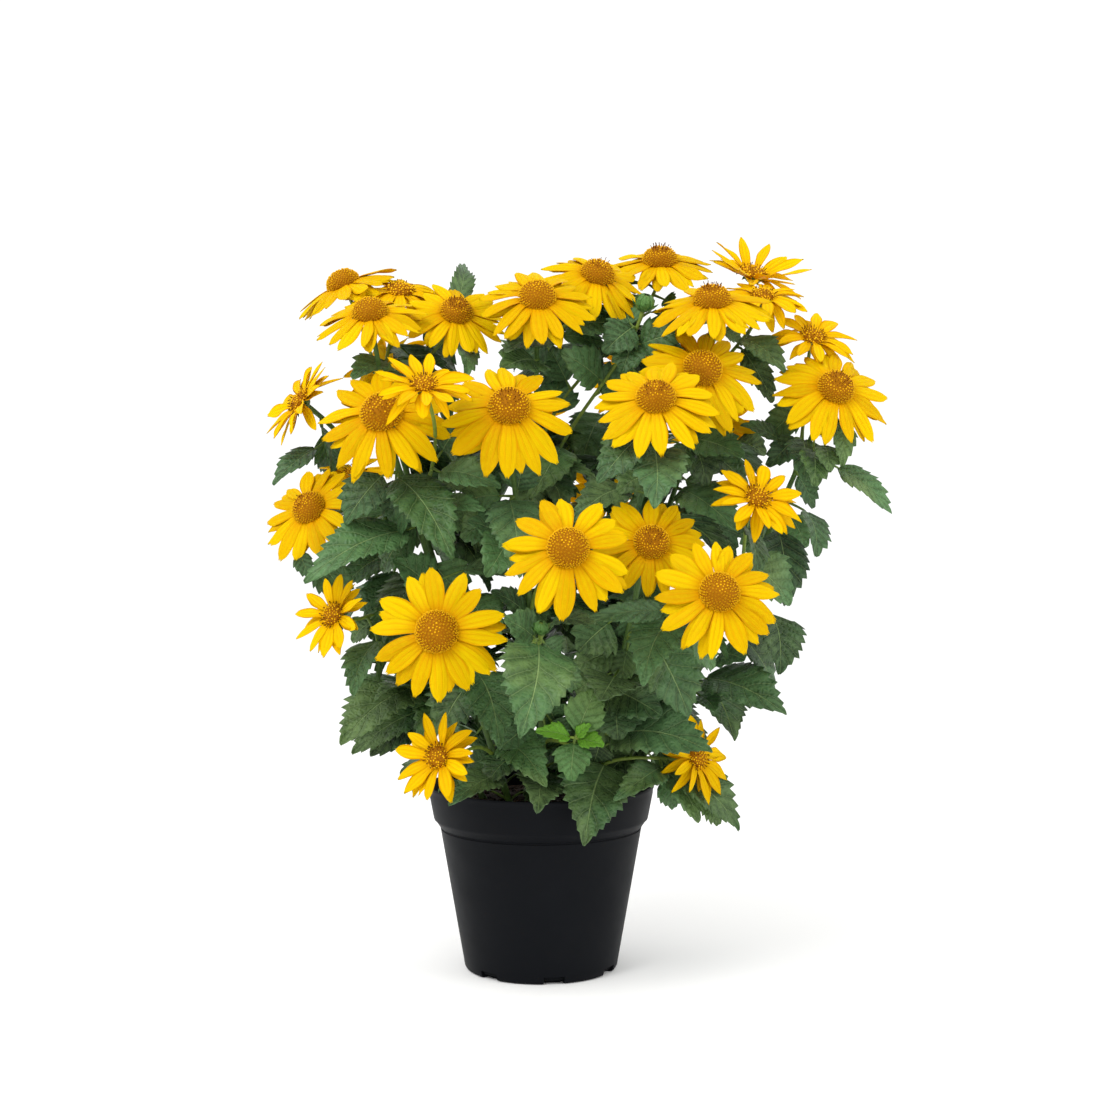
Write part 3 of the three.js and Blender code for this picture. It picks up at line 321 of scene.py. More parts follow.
# The young shoot low at the front: the stem it leaves and the share up it, the pixel and depth of its top,
# how its stalk bends, and its leaves: pixel of the tip, how far it comes forward, width, turn, rise, and
# look, where 3 is a little young.
SHOOT_STEM, SHOOT_START, SHOOT = 2, 0.22, (575, 738, -98)
SHOOT_LEAVING, SHOOT_RISE, SHOOT_ARRIVING, SHOOT_LEAF_STALK = 0.4, 6, 12, 0.12
SHOOT_LEAVES = [
    (536, 731, 8, 17, -20, 45, 1), (604, 746, 8, 19, 20, 45, 1), (597, 687, -6, 31, 0, 20, 3),
    (571, 781, 10, 28, 0, 30, 3), (590, 724, 4, 10, 0, 40, 1),
]


def between(low, high, share):
    return low + (high - low) * share


def smooth(low, high, value):
    """0 below low, 1 above high, and an even curve from one to the other."""
    share = min(max((value - low) / (high - low), 0), 1)
    return share * share * (3 - 2 * share)


def linear(colour):
    """The linear red, green and blue of an sRGB hex colour, with an alpha of 1."""
    channels = [int(colour[i:i + 2], 16) / 255 for i in (1, 3, 5)]
    return tuple(c / 12.92 if c <= 0.04045 else ((c + 0.055) / 1.055) ** 2.4 for c in channels) + (1,)


def seen(u, v, depth):
    """The point seen at pixel (u, v) of the reference view, at a depth behind the pot's axis."""
    pitch = math.radians(VIEW_PITCH)
    forward = Vector((0, math.cos(pitch), -math.sin(pitch)))
    upward = Vector((0, math.sin(pitch), math.cos(pitch)))
    ray = forward * VIEW_FOCAL + upward * (VIEW_CENTRE - v)
    ray.x = u - VIEW_CENTRE
    return EYE + ray * ((VIEW_AWAY + depth) / ray.y)


def facing(turn, rise):
    """The direction that is turned to the viewer's right and raised above the level."""
    t, r = math.radians(turn), math.radians(rise)
    return Vector((math.sin(t) * math.cos(r), -math.cos(t) * math.cos(r), math.sin(r)))


def draws(seed):
    """Numbers between 0 and 1 in an order fixed by the seed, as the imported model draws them."""
    state = seed
    while True:
        state = (state * 1664525 + 1013904223) % 4294967296
        yield state / 4294967296


class RayStyle(NamedTuple):
    """The petals of a kind of bloom: how many stand in front, how far they lift and bend, and the limits of
    what is drawn for each: breadth, channel, bluntness and youth, and the lift of those behind."""
    count: int
    lift: float
    bend: float
    breadth: tuple
    channel: tuple
    bluntness: tuple
    youth: tuple
    behind: tuple


RIPE = RayStyle(14, 1.2, -0.12, (0.9, 1.12), (-0.35, 0.1), (1.8, 3.1), (0, 0.25), (-0.1, -0.02))
YOUNG = RayStyle(11, 2.6, 0.02, (0.78, 1.12), (0.1, 0.6), (1.4, 2.1), (0.5, 1), (-0.3, 0))


class Head(NamedTuple):
    """A bloom or a bud: its stem, place, span, direction and share up the stem."""
    name: str
    stem: int
    at: Vector
    span: float
    way: Vector
    start: float
    ripe: bool = False
    cup: float = 0
    bud: bool = False

    @property
    def style(self):
        return RIPE if self.ripe else YOUNG

    @property
    def matrix(self):
        return Matrix.Translation(self.at) @ UP.rotation_difference(self.way).to_matrix().to_4x4()


class Leaf(NamedTuple):
    """A leaf: where its stalk leaves the stem, its blade's two ends, its width, upper side, arch and look."""
    root: Vector
    base: Vector
    tip: Vector
    width: float
    face: Vector
    arch: float
    plain: bool
    look: int = 0

    @property
    def axes(self):
        """The blade's length as a vector, and the unit vectors across it and out of its upper side."""
        along = self.tip - self.base
        across = along.cross(self.face).normalized()
        return along, across, across.cross(along).normalized()

    def half(self, t):
        return self.width / 2 * max(math.sin(math.pi * t ** BLADE_SKEW), 0) ** BLADE_FULLNESS

    def samples(self):
        """Points over the blade, to keep it clear of others."""
        along, across, upper = self.axes
        found = [self.tip]
        for t in (0.15, 0.4, 0.65, 0.85):
            rib = self.base + along * t + upper * (self.arch * along.length * 4 * t * (1 - t))
            found += [rib + across * self.half(t) * x for x in (-0.9, 0, 0.9)]
        return found

    def corners(self):
        """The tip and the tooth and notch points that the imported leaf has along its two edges."""
        along, across, upper = self.axes
        length = along.length
        teeth = 2 if self.plain else 3
        found = [self.tip]
        for i in range(2 * teeth):
            at, out = NOTCH if i % 2 else TOOTH
            t = (i // 2 + at) / (teeth + TIP_ROOM)
            rib = self.base + along * t + upper * (self.arch * length * 4 * t * (1 - t))
            reach = self.half(t) * out
            lift = upper * reach * math.sin(LEAF_FOLD)
            for side in (1, -1):
                found.append(rib + across * side * reach * math.cos(LEAF_FOLD) + lift)
        return found


class Curve:
    """A cubic curve whose points are asked for by share of its length."""
    CHORDS = 200

    def __init__(self, *points):
        self.points = points
        places = [self.at(i / self.CHORDS) for i in range(self.CHORDS + 1)]
        self.reach = [0]
        for a, b in zip(places, places[1:]):
            self.reach.append(self.reach[-1] + (b - a).length)

    def at(self, t):
        a, b, c, d = self.points
        s = 1 - t
        return a * s ** 3 + b * (3 * s * s * t) + c * (3 * s * t * t) + d * t ** 3

    def inner(self, share):
        target = share * self.reach[-1]
        i = min(max(bisect.bisect_right(self.reach, target) - 1, 0), self.CHORDS - 1)
        return (i + (target - self.reach[i]) / (self.reach[i + 1] - self.reach[i])) / self.CHORDS

    def point(self, share):
        return self.at(self.inner(share))

    def way(self, share):
        t = self.inner(share)
        return (self.at(min(t + 1e-4, 1)) - self.at(max(t - 1e-4, 0))).normalized()

    def axis(self, share, steps):
        """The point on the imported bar's axis, which is straight from step to step."""
        step = min(int(share * steps), steps - 1)
        return self.point(step / steps).lerp(self.point((step + 1) / steps), share * steps - step)


def curve_to(start, leave, head, sway):
    """The curve from a start, leaving along a direction, to the back of a flower head."""
    end = head.at - head.way * (CUP_DEPTH / 2)
    reach = (end - start).length
    aside = Vector((*sway, 0))
    first = start + leave * reach * LEAVING + aside
    return Curve(start, first, end - head.way * reach * ARRIVING + aside, end)


class Corners:
    """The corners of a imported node, to tell which of several shapes the node holds."""
    NEAR = 0.05

    def __init__(self, node):
        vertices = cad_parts[node].data.vertices
        self.tree = kdtree.KDTree(len(vertices))
        for i, v in enumerate(vertices):
            self.tree.insert(v.co / MM, i)
        self.tree.balance()

    def holds(self, points):
        return sum(self.tree.find(p)[2] < self.NEAR for p in points)

    def rings(self, curve, form):
        radius, _, steps = form
        found = [self.tree.find_range(curve.point(k / steps), radius + self.NEAR) for k in range(1, steps)]
        return sum(distance > radius - self.NEAR for ring in found for _, _, distance in ring)


def best(options, score, least):
    """The first option with the highest score, or None where no score reaches the least."""
    scores = [score(option) for option in options]
    top = max(scores, default=0)
    return options[scores.index(top)] if top >= least else None


def all_heads():
    """Every bloom and then every bud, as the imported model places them."""
    heads = [
        Head(f"bloom_{i + 1:02d}", stem, seen(u, v, depth), span, facing(turn, rise), start, bool(ripe), cup)
        for i, (ripe, stem, u, v, depth, span, turn, rise, cup, start) in enumerate(BLOOMS)
    ]
    buds = [
        Head(f"bud_{i + 1}", stem, seen(u, v, depth), 2 * radius, facing(turn, rise), start, bud=True)
        for i, (stem, u, v, depth, radius, turn, rise, start) in enumerate(BUDS)
    ]
    return heads + buds


def all_blooms():
    return enumerate(head for head in all_heads() if not head.bud)


class Stem:
    """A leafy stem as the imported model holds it: its main curve, its stalks and its leaves."""

    def __init__(self, index, heads):
        self.name, x, y, lean = STEMS[index]
        self.corners = Corners(self.name)
        self.heads = [head for head in heads if head.stem == index]
        crown = next(head for head in self.heads if head.start == 1)
        foot = Vector((x, y, SOIL_TOP - STEM_DEPTH))
        leave = UP.lerp(Vector((x, y, 0)).normalized(), math.tan(math.radians(lean))).normalized()
        ways = [curve_to(foot, leave, crown, sway) for sway in SWAYS]
        self.main = best(ways, lambda curve: self.corners.rings(curve, STEM), 4)
        self.stalks = [self.stalk(head) for head in self.heads if head.start < 1]
        self.leaves, self.shoot = [], None

    def stalk(self, head):
        """The stalk's curve to a head, and the share up the stem where it starts."""
        ways = []
        for drop in START_DROPS:
            share = head.start - drop
            start = self.main.axis(share, STEM[2])
            leave = (self.main.way(share) + (head.at - start).normalized()).normalized()
            ways += [(curve_to(start, leave, head, sway), share) for sway in SWAYS]
        return best(ways, lambda way: self.corners.rings(way[0], STALK), 2)

    def joints(self):
        """The points that leaves grow from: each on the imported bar's axis and on the true curve."""
        found = []
        for curve, steps in [(self.main, STEM[2])] + [(stalk, STALK[2]) for stalk, _ in self.stalks]:
            for i in range(END_SAMPLES, CURVE_SAMPLES + 1 - END_SAMPLES):
                at = curve.axis(i / CURVE_SAMPLES, steps)
                if at.z > SOIL_TOP + JOINT_HEIGHT:
                    found.append((self, at, curve.point(i / CURVE_SAMPLES)))
        return found

    def grow(self, shapes, root, look):
        """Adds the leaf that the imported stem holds, where it is one of these, rooted on the true curve."""
        leaf = best(shapes, lambda shape: self.corners.holds(shape.corners()), 3)
        if leaf:
            self.leaves.append(leaf._replace(root=root, look=look))

    def grow_pairs(self, seed):
        numbers = draws(seed)
        shares = [i / PAIR_SAMPLES for i in range(PAIR_SAMPLES)]
        samples = [self.main.axis(share, STEM[2]) for share in shares]
        top = samples[-1].z
        lowest = PAIR_FIRST + PAIR_SPACING * next(numbers)
        for pair in range(math.ceil((top * PAIR_TOP_SHARE - lowest) / PAIR_SPACING)):
            height = lowest + pair * PAIR_SPACING
            found = next(i for i, at in enumerate(samples) if at.z >= height)
            root, true = samples[found], self.main.point(shares[found])
            first = 90 * (pair % 2) + 180 * next(numbers)
            full = between(LONGEST_LEAF, SHORTEST_LEAF, (height - PAIR_FIRST) / (top - PAIR_FIRST))
            length = full * between(1 - LEAF_SPREAD, 1 + LEAF_SPREAD, next(numbers))
            for side in (first, first + 180):
                shapes = []
                for hang in PAIR_HANGS:
                    for more in PAIR_TURNS:
                        base = root + facing(side + more, LEAF_STALK_RISE) * LEAF_STALK_LENGTH
                        tip = base + facing(side + more, -hang) * length
                        face = facing(side + more, PAIR_FACE_RISE)
                        if tip.y > FRONT_LIMIT and tip.z > LOWEST_TIP:
                            shapes.append(Leaf(root, base, tip, length * WIDTH_SHARE, face, PAIR_ARCH, True))
                self.grow(shapes, true, 0)


def seen_shapes(root, seen_base, row):
    """The shapes that a seen leaf may have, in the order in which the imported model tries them."""
    _, _, tip_u, tip_v, forward, width, turn, rise, _ = row
    shapes = []
    for shift in TIP_SHIFTS:
        tip = seen(tip_u, tip_v, seen_base.y - forward + shift)
        stalk = seen_base - root
        bent = stalk.angle(tip - seen_base) > math.radians(STALK_BEND)
        base = root + (tip - root).normalized() * stalk.length if bent else seen_base
        for more in FACE_TURNS:
            shapes.append(Leaf(root, base, tip, width, facing(turn + more, rise), SEEN_ARCH, False))
    return shapes


class Clearing:
    """The room between leaves: points of those placed, to keep the next clear of them and of the blooms."""

    def __init__(self, stems, heads):
        self.heads = [(head, head.matrix.inverted(), (head.at - EYE).dot(head.way)) for head in heads]
        self.openings = [
            ((seen(u, v, 0) - EYE).normalized(), radius / VIEW_FOCAL) for u, v, radius in OPENINGS
        ]
        self.placed = [point for stem in stems for leaf in stem.leaves for point in leaf.samples()]
        self.tree = None

    def far(self, points, least):
        if self.tree is None:
            self.tree = kdtree.KDTree(len(self.placed))
            for i, at in enumerate(self.placed):
                self.tree.insert(at, i)
            self.tree.balance()
        return all(self.tree.find(at)[2] > least for at in points)

    def open(self, points):
        """Whether no point is in a bloom's petals, or seen before a bloom or in an opening."""
        for at in points:
            sight = at - EYE
            if any(sight.angle(way) < reach for way, reach in self.openings):
                return False
            for head, inverse, reach in self.heads:
                radius, own = head.span / 2, inverse @ at
                beside = math.hypot(own.x, own.y) < radius + ROOM_BESIDE
                if beside and -ROOM_BEHIND < own.z < ROOM_BEFORE * radius:
                    return False
                share = reach / sight.dot(head.way)
                if head.way.y < TURNED_AWAY and share > 1 and (EYE + sight * share - head.at).length < radius:
                    return False
        return True

    def fits(self, leaf, least):
        points = leaf.samples()
        return self.far(points, least) and self.open(points)

    def take(self, stem, leaf):
        stem.leaves.append(leaf)
        self.placed += leaf.samples()
        self.tree = None


def inner_leaf(root, side, low, numbers):
    """A leaf drawn for one side of a node."""
    length, hang = numbers.uniform(*LOW_LENGTH if low else INNER_LENGTH), numbers.uniform(*INNER_HANG)
    turn = side + numbers.uniform(-INNER_SWING, INNER_SWING)
    base = root + facing(turn, LEAF_STALK_RISE) * numbers.uniform(*INNER_STALK)
    tip = base + facing(turn, LOW_LIFT - hang if low else -hang) * length
    width = length * numbers.uniform(*INNER_WIDTH)
    return Leaf(root, base, tip, width, facing(turn, PAIR_FACE_RISE), PAIR_ARCH, True)


def add_inner_leaves(stems, clearing):
    """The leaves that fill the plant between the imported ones: two at each node up each stem and stalk, where
    they are clear of the blooms and of the leaves around them, and none in front of the leaves seen."""
    looks, numbers = bpy.context.scene.leaf_looks, random.Random(INNER_SEED)
    reach = looks.reach / MM
    for stem in stems:
        for curve in [stem.main] + [stalk for stalk, _ in stem.stalks]:
            nodes = int(curve.reach[-1] / (looks.spacing / MM))
            for k in range(2 * nodes):
                share, side = (k // 2 + NODE_FIRST) / nodes, SPIRAL_TURN * (k // 2) + 180 * (k % 2)
                root = curve.point(min(share, NODE_LAST))
                if root.z < SOIL_TOP + JOINT_HEIGHT:
                    continue
                low = root.z < LOW_LEAVES
                front = FRONT_LIMIT - (LOW_FORWARD if low else 0)
                for _ in range(INNER_TRIES):
                    leaf = inner_leaf(root, side, low, numbers)
                    points = leaf.samples()
                    inside = all(at.xy.length < reach and at.y > front and at.z > SOIL_TOP for at in points)
                    if inside and clearing.fits(leaf, INNER_ROOM):
                        clearing.take(stem, leaf)
                        break


def add_shoot(stem):
    """The young side shoot low at the front: its stalk and its bright leaves."""
    foot, top = stem.main.point(SHOOT_START), seen(*SHOOT)
    leaving, arriving = foot.lerp(top, SHOOT_LEAVING) + UP * SHOOT_RISE, top - UP * SHOOT_ARRIVING
    stem.shoot = Curve(foot, leaving, arriving, top)
    for tip_u, tip_v, forward, width, turn, rise, look in SHOOT_LEAVES:
        tip = seen(tip_u, tip_v, SHOOT[2] - forward)
        base = top.lerp(tip, SHOOT_LEAF_STALK)
        stem.leaves.append(Leaf(top, base, tip, width, facing(turn, rise), SEEN_ARCH, True, look))


def seen_joint(joints, row):
    """The joint nearest to a seen leaf's base, and where on its line of sight the base stands."""
    sight = (seen(row[0], row[1], 0) - EYE).normalized()
    points = [EYE + sight * (at - EYE).dot(sight) for _, at, _ in joints]
    costs = [(point - at).length + FRONT_FIRST * at.y for point, (_, at, _) in zip(points, joints)]
    nearest = costs.index(min(costs))
    return *joints[nearest], points[nearest] - Vector((0, STANDOFF, 0))


def grown_plant():
    """Every stem with its stalks and leaves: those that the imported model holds, and those that fill it."""
    heads = all_heads()
    stems = [Stem(index, heads) for index in range(len(STEMS))]
    joints = [joint for stem in stems for joint in stem.joints()]
    for row in SEEN_LEAVES:
        stem, root, true, seen_base = seen_joint(joints, row)
        stem.grow(seen_shapes(root, seen_base, row), true, row[8])
    for index, stem in enumerate(stems):
        stem.grow_pairs(PAIR_SEED * (index + 1))
    add_shoot(stems[SHOOT_STEM])
    clearing = Clearing(stems, heads)
    for row in MORE_LEAVES:
        stem, _, true, seen_base = seen_joint(joints, row)
        shapes = seen_shapes(true, seen_base, row)
        free = [shape for shape in shapes if clearing.fits(shape, MORE_ROOM)]
        clearing.take(stem, (free or shapes)[0]._replace(look=row[8]))
    add_inner_leaves(stems, clearing)
    return stems


# The sockets by which a Mix node lays one colour over another, and two settings that many nodes share.
SHARE, UNDER, OVER, MIXED = 0, 6, 7, 2
COLOURS, SOFT = {"data_type": "RGBA"}, {"interpolation_type": "SMOOTHSTEP"}


def add(tree, kind, inputs, output=0, **settings):
    """Adds a shader node with its settings, sets or links its inputs, given by name or in order, and returns
    one of its outputs."""
    made = tree.nodes.new("ShaderNode" + kind)
    for name, value in settings.items():
        setattr(made, name, value)
    for name, value in inputs.items() if isinstance(inputs, dict) else enumerate(inputs):
        if isinstance(value, bpy.types.NodeSocket):
            tree.links.new(value, made.inputs[name])
        else:
            made.inputs[name].default_value = value
    return made.outputs[output] if made.outputs else None


def fresh_material(name):
    """A new material and its emptied tree."""
    made = bpy.data.materials.new(name)
    made.use_nodes = True
    made.node_tree.nodes.clear()
    return made, made.node_tree


def fineness(size):
    """The scale of a pattern whose features are about this many millimetres across."""
    return 1 / (size * MM)


def on_blade(tree):
    """Where a point stands on its blade: across it, out from its midrib, and along it, each from 0 to 1."""
    across = add(tree, "SeparateXYZ", {"Vector": add(tree, "UVMap", {}, uv_map="blade")}, "X")
    out = add(tree, "Math", (across, 2, -1), operation="MULTIPLY_ADD")
    return across, add(tree, "Math", (out,), operation="ABSOLUTE"), across.node.outputs["Y"]


def chosen(group, *names):
    """The colours of these names that the user has chosen."""
    return (tuple(getattr(group, name)) for name in names)


def leaf_skin(name, under):
    """Leaf skin: dark green with a dull gloss above, paler below, puckered between paler veins that leave
    the midrib in curved pairs and join in a net. It is mottled, with painted light on the bulges between the
    side veins and painted shade along them, and young leaves are bright green."""
    made, tree = fresh_material(name)
    looks = bpy.context.scene.leaf_looks
    dark, light, olive, pale, vein, young = chosen(looks, "dark", "light", "olive", "pale", "vein", "young")
    place = add(tree, "TexCoord", {}, "Object")
    _, out, along = on_blade(tree)
    shade = add(tree, "Attribute", {}, "Fac", attribute_name="shade")
    youth = add(tree, "Attribute", {}, "Fac", attribute_name="youth")

    sweep = add(tree, "Math", (out, VEIN_CURVE), operation="POWER")
    sweep = add(tree, "Math", (sweep, VEIN_SWEEP), operation="MULTIPLY")
    phase = add(tree, "Math", (along, SIDE_VEINS), operation="MULTIPLY")
    phase = add(tree, "Math", (phase, sweep), operation="SUBTRACT")
    drift = add(tree, "TexNoise", {"Vector": place, "Scale": fineness(14), "Detail": 2})
    phase = add(tree, "Math", (drift, 0.3, phase), operation="MULTIPLY_ADD")
    from_vein = add(tree, "Math", (phase, 0.5), operation="PINGPONG")
    side_veins = add(tree, "MapRange", (from_vein, 0.055, 0.01), **SOFT)
    side_veins = add(tree, "Math", (side_veins, 0.45), operation="MULTIPLY")
    midrib = add(tree, "MapRange", (out, 0.042, 0.012), **SOFT)
    veins = add(tree, "Math", (midrib, side_veins), operation="MAXIMUM")
    cells = {"Vector": place, "Scale": fineness(4)}
    net = add(tree, "TexVoronoi", cells, "Distance", feature="DISTANCE_TO_EDGE")
    net_veins = add(tree, "MapRange", (net, 0.16, 0), **SOFT)
    net_veins = add(tree, "Math", (net_veins, 0.12), operation="MULTIPLY")
    lines = add(tree, "Math", (veins, net_veins), operation="MAXIMUM")
    lines = add(tree, "Math", (lines, 0.5), operation="MULTIPLY")

    # Painted light and shade: lighter on the bulges between the side veins, darker along the sunken veins.
    painted_bulge_light = add(tree, "MapRange", (from_vein, 0, 0.4), **SOFT)
    patches = add(tree, "TexNoise", {"Vector": place, "Scale": fineness(11), "Detail": 5})
    patches = add(tree, "MapRange", (patches, 0.34, 0.66), **SOFT)
    mottle_and_bulge_light = add(tree, "Math", (shade, 0.7), operation="MULTIPLY")
    mottle_and_bulge_light = add(tree, "Math", (patches, 0.3, mottle_and_bulge_light), operation="MULTIPLY_ADD")
    mottle_and_bulge_light = add(tree, "Math", (mottle_and_bulge_light, 0.12), operation="SUBTRACT")
    mottle_and_bulge_light = add(tree, "Math", (painted_bulge_light, 0.3, mottle_and_bulge_light), operation="MULTIPLY_ADD")
    tint = add(tree, "TexNoise", {"Vector": place, "Scale": fineness(70), "Detail": 1})
    tint = add(tree, "MapRange", (tint, 0.46, 0.6), **SOFT)
    light = add(tree, "Mix", {SHARE: tint, UNDER: light, OVER: olive}, MIXED, **COLOURS)
    body = dark
    for share, colour in ((mottle_and_bulge_light, light), (0.6 if under else 0, pale), (youth, young), (lines, vein)):
        body = add(tree, "Mix", {SHARE: share, UNDER: body, OVER: colour}, MIXED, **COLOURS)

    grain = add(tree, "TexNoise", {"Vector": place, "Scale": fineness(0.9), "Detail": 2})
    grain = add(tree, "Math", (grain, 0.15), operation="MULTIPLY")
    sunken = add(tree, "Math", (veins, -1), operation="MULTIPLY")
    pucker = add(tree, "MapRange", (net, 0, 0.5), **SOFT)
    pucker = add(tree, "Math", (pucker, 0.7, sunken), operation="MULTIPLY_ADD")
    height = add(tree, "Math", (pucker, grain), operation="ADD")
    strength, depth, dull, glint = (0.6, -0.5, 0.6, 0.12) if under else (0.9, 0.9, 0.38, 0.26)
    gloss = add(tree, "TexNoise", {"Vector": place, "Scale": fineness(5), "Detail": 2})
    surface = add(tree, "BsdfPrincipled", {
        "Base Color": body,
        "Normal": add(tree, "Bump", {"Height": height, "Strength": strength, "Distance": depth * MM}),
        "Roughness": add(tree, "Math", (gloss, 0.16, dull), operation="MULTIPLY_ADD"),
        "Specular IOR Level": glint,
    })
    add(tree, "OutputMaterial", {"Surface": surface})
    return made


def stem_skin():
    """Living green stem: yellow-green on the flower stalks, darker towards the soil, with fine streaks."""
    made, tree = fresh_material("ribbed_green_stem")
    stem, stalk, dark = chosen(bpy.context.scene.leaf_looks, "stem", "stalk", "dark")
    place = add(tree, "TexCoord", {}, "Object")
    youth = add(tree, "Attribute", {}, "Fac", attribute_name="youth")
    streaks = add(tree, "TexNoise", {"Vector": place, "Scale": fineness(3), "Detail": 4})
    streaks = add(tree, "MapRange", (streaks, 0.3, 0.75), **SOFT)
    streaks = add(tree, "Math", (streaks, 0.35), operation="MULTIPLY")
    body = stem
    for share, colour in ((youth, stalk), (streaks, dark)):
        body = add(tree, "Mix", {SHARE: share, UNDER: body, OVER: colour}, MIXED, **COLOURS)
    ribs = add(tree, "TexNoise", {"Vector": place, "Scale": fineness(0.8), "Detail": 2})
    surface = add(tree, "BsdfPrincipled", {
        "Base Color": body,
        "Normal": add(tree, "Bump", {"Height": ribs, "Strength": 0.25, "Distance": 0.2 * MM}),
        "Roughness": 0.5,
        "Specular IOR Level": 0.3,
    })
    add(tree, "OutputMaterial", {"Surface": surface})
    return made


def petal_skin():
    """Petal: golden yellow, deeper towards its base, with painted shade in its lengthwise grooves and along
    its edges where the petals overlap, with a velvet gloss, and lit a little from within because it is thin."""
    made, tree = fresh_material("golden_petal")
    base, gold, bright, orange = chosen(bpy.context.scene.flower_looks, "base", "gold", "bright", "orange")
    place = add(tree, "TexCoord", {}, "Object")
    across, out, along = on_blade(tree)
    shade = add(tree, "Attribute", {}, "Fac", attribute_name="shade")
    youth = add(tree, "Attribute", {}, "Fac", attribute_name="youth")
    ripening = add(tree, "Math", (youth, 0.7), operation="MULTIPLY")
    streaks = add(tree, "TexNoise", {"Vector": place, "Scale": fineness(4), "Detail": 3})
    streaks = add(tree, "MapRange", (streaks, 0.4, 0.7), **SOFT)
    streaks = add(tree, "Math", (streaks, 0.25), operation="MULTIPLY")

    wave = add(tree, "Math", (across, 6 * math.pi), operation="MULTIPLY")
    wave = add(tree, "Math", (wave,), operation="COSINE")
    wave = add(tree, "MapRange", (wave, 0.1, 1), **SOFT)
    before_tip = add(tree, "MapRange", (along, 1, 0.6), **SOFT)
    grooves = add(tree, "Math", (wave, before_tip), operation="MULTIPLY")
    # Painted shade in the lengthwise grooves.
    painted_groove_shade = add(tree, "Math", (grooves, 0.3), operation="MULTIPLY")

    # The base is the petal's own deeper colour. The edges take painted shade where the petals overlap, fading
    # towards the tip.
    rooted = add(tree, "MapRange", (along, 0.45, 0.05), **SOFT)
    edges = add(tree, "MapRange", (out, 0.7, 1), **SOFT)
    lower = add(tree, "MapRange", (along, 0.9, 0.3), **SOFT)
    edges = add(tree, "Math", (edges, lower), operation="MULTIPLY")
    base_and_edge_shade = add(tree, "Math", (rooted, edges), operation="MAXIMUM")
    depth = add(tree, "Math", (youth, -0.4, 0.75), operation="MULTIPLY_ADD")
    base_and_edge_shade = add(tree, "Math", (base_and_edge_shade, depth), operation="MULTIPLY")
    body = gold
    layers = ((shade, bright), (ripening, orange), (streaks, bright), (painted_groove_shade, base), (base_and_edge_shade, base))
    for share, colour in layers:
        body = add(tree, "Mix", {SHARE: share, UNDER: body, OVER: colour}, MIXED, **COLOURS)

    veins = add(tree, "Math", (across, 60), operation="MULTIPLY")
    veins = add(tree, "Math", (veins,), operation="COSINE")
    veins = add(tree, "Math", (veins, 0.2), operation="MULTIPLY")
    height = add(tree, "Math", (veins, grooves), operation="SUBTRACT")
    surface = add(tree, "BsdfPrincipled", {
        "Base Color": body,
        "Normal": add(tree, "Bump", {"Height": height, "Strength": 0.5, "Distance": 0.35 * MM}),
        "Roughness": 0.55,
        "Specular IOR Level": 0.03,
        "Subsurface Weight": 0.25,
        "Subsurface Radius": (1, 0.6, 0.1),
        "Subsurface Scale": 2 * MM,
    })
    add(tree, "OutputMaterial", {"Surface": surface})
    return made


def floret_skin():
    """Disc florets: orange-brown tubes that lighten to golden lips, with dark brown anthers, and painted
    shade deep between them: at their feet, in their open lips and on the dome.
    """
    made, tree = fresh_material("disc_florets")
    deep, floret, lip, dark = chosen(bpy.context.scene.flower_looks, "deep", "floret", "lip", "anther")
    _, _, up = on_blade(tree)
    shade = add(tree, "Attribute", {}, "Fac", attribute_name="shade")
    anther = add(tree, "Attribute", {}, "Fac", attribute_name="youth")
    # Painted shade: the feet of the florets, the dome and the middles of the open lips take the colour deep
    # between florets.
    tube_share = add(tree, "MapRange", (up, 0.15, 0.6), **SOFT)
    lips = add(tree, "MapRange", (up, 0.55, 0.95), **SOFT)
    open_share = add(tree, "Math", (shade, 0.25), operation="ADD")
    lips = add(tree, "Math", (lips, open_share), operation="MULTIPLY")
    ends = add(tree, "MapRange", (up, 0.35, 0.7), **SOFT)
    ends = add(tree, "Math", (anther, ends), operation="MULTIPLY")
    body = deep
    for share, colour in ((tube_share, floret), (lips, lip), (ends, dark)):
        body = add(tree, "Mix", {SHARE: share, UNDER: body, OVER: colour}, MIXED, **COLOURS)
    surface = add(tree, "BsdfPrincipled", {"Base Color": body, "Roughness": 0.7, "Specular IOR Level": 0.08})
    add(tree, "OutputMaterial", {"Surface": surface})
    return made


def pot_plastic():
    """Moulded recycled polypropylene: near-black, satin, with the faint orange-peel and dulled patches of a
    pot that has been handled and watered."""
    made, tree = fresh_material("moulded_black_polypropylene")
    plastic, dusty = chosen(bpy.context.scene.pot_looks, "plastic", "dust")
    place = add(tree, "TexCoord", {}, "Object")
    dust = add(tree, "TexNoise", {"Vector": place, "Scale": fineness(45), "Detail": 5})
    dust = add(tree, "MapRange", (dust, 0.45, 0.8), **SOFT)
    dust = add(tree, "Math", (dust, 0.2), operation="MULTIPLY")
    dull = add(tree, "TexNoise", {"Vector": place, "Scale": fineness(20), "Detail": 4})
    peel = add(tree, "TexNoise", {"Vector": place, "Scale": fineness(0.8), "Detail": 3})
    surface = add(tree, "BsdfPrincipled", {
        "Base Color": add(tree, "Mix", {SHARE: dust, UNDER: plastic, OVER: dusty}, MIXED, **COLOURS),
        "Normal": add(tree, "Bump", {"Height": peel, "Strength": 0.12, "Distance": 0.15 * MM}),
        "Roughness": add(tree, "Math", (dull, 0.2, 0.42), operation="MULTIPLY_ADD"),
        "Specular IOR Level": 0.075,
    })
    add(tree, "OutputMaterial", {"Surface": surface})
    return made


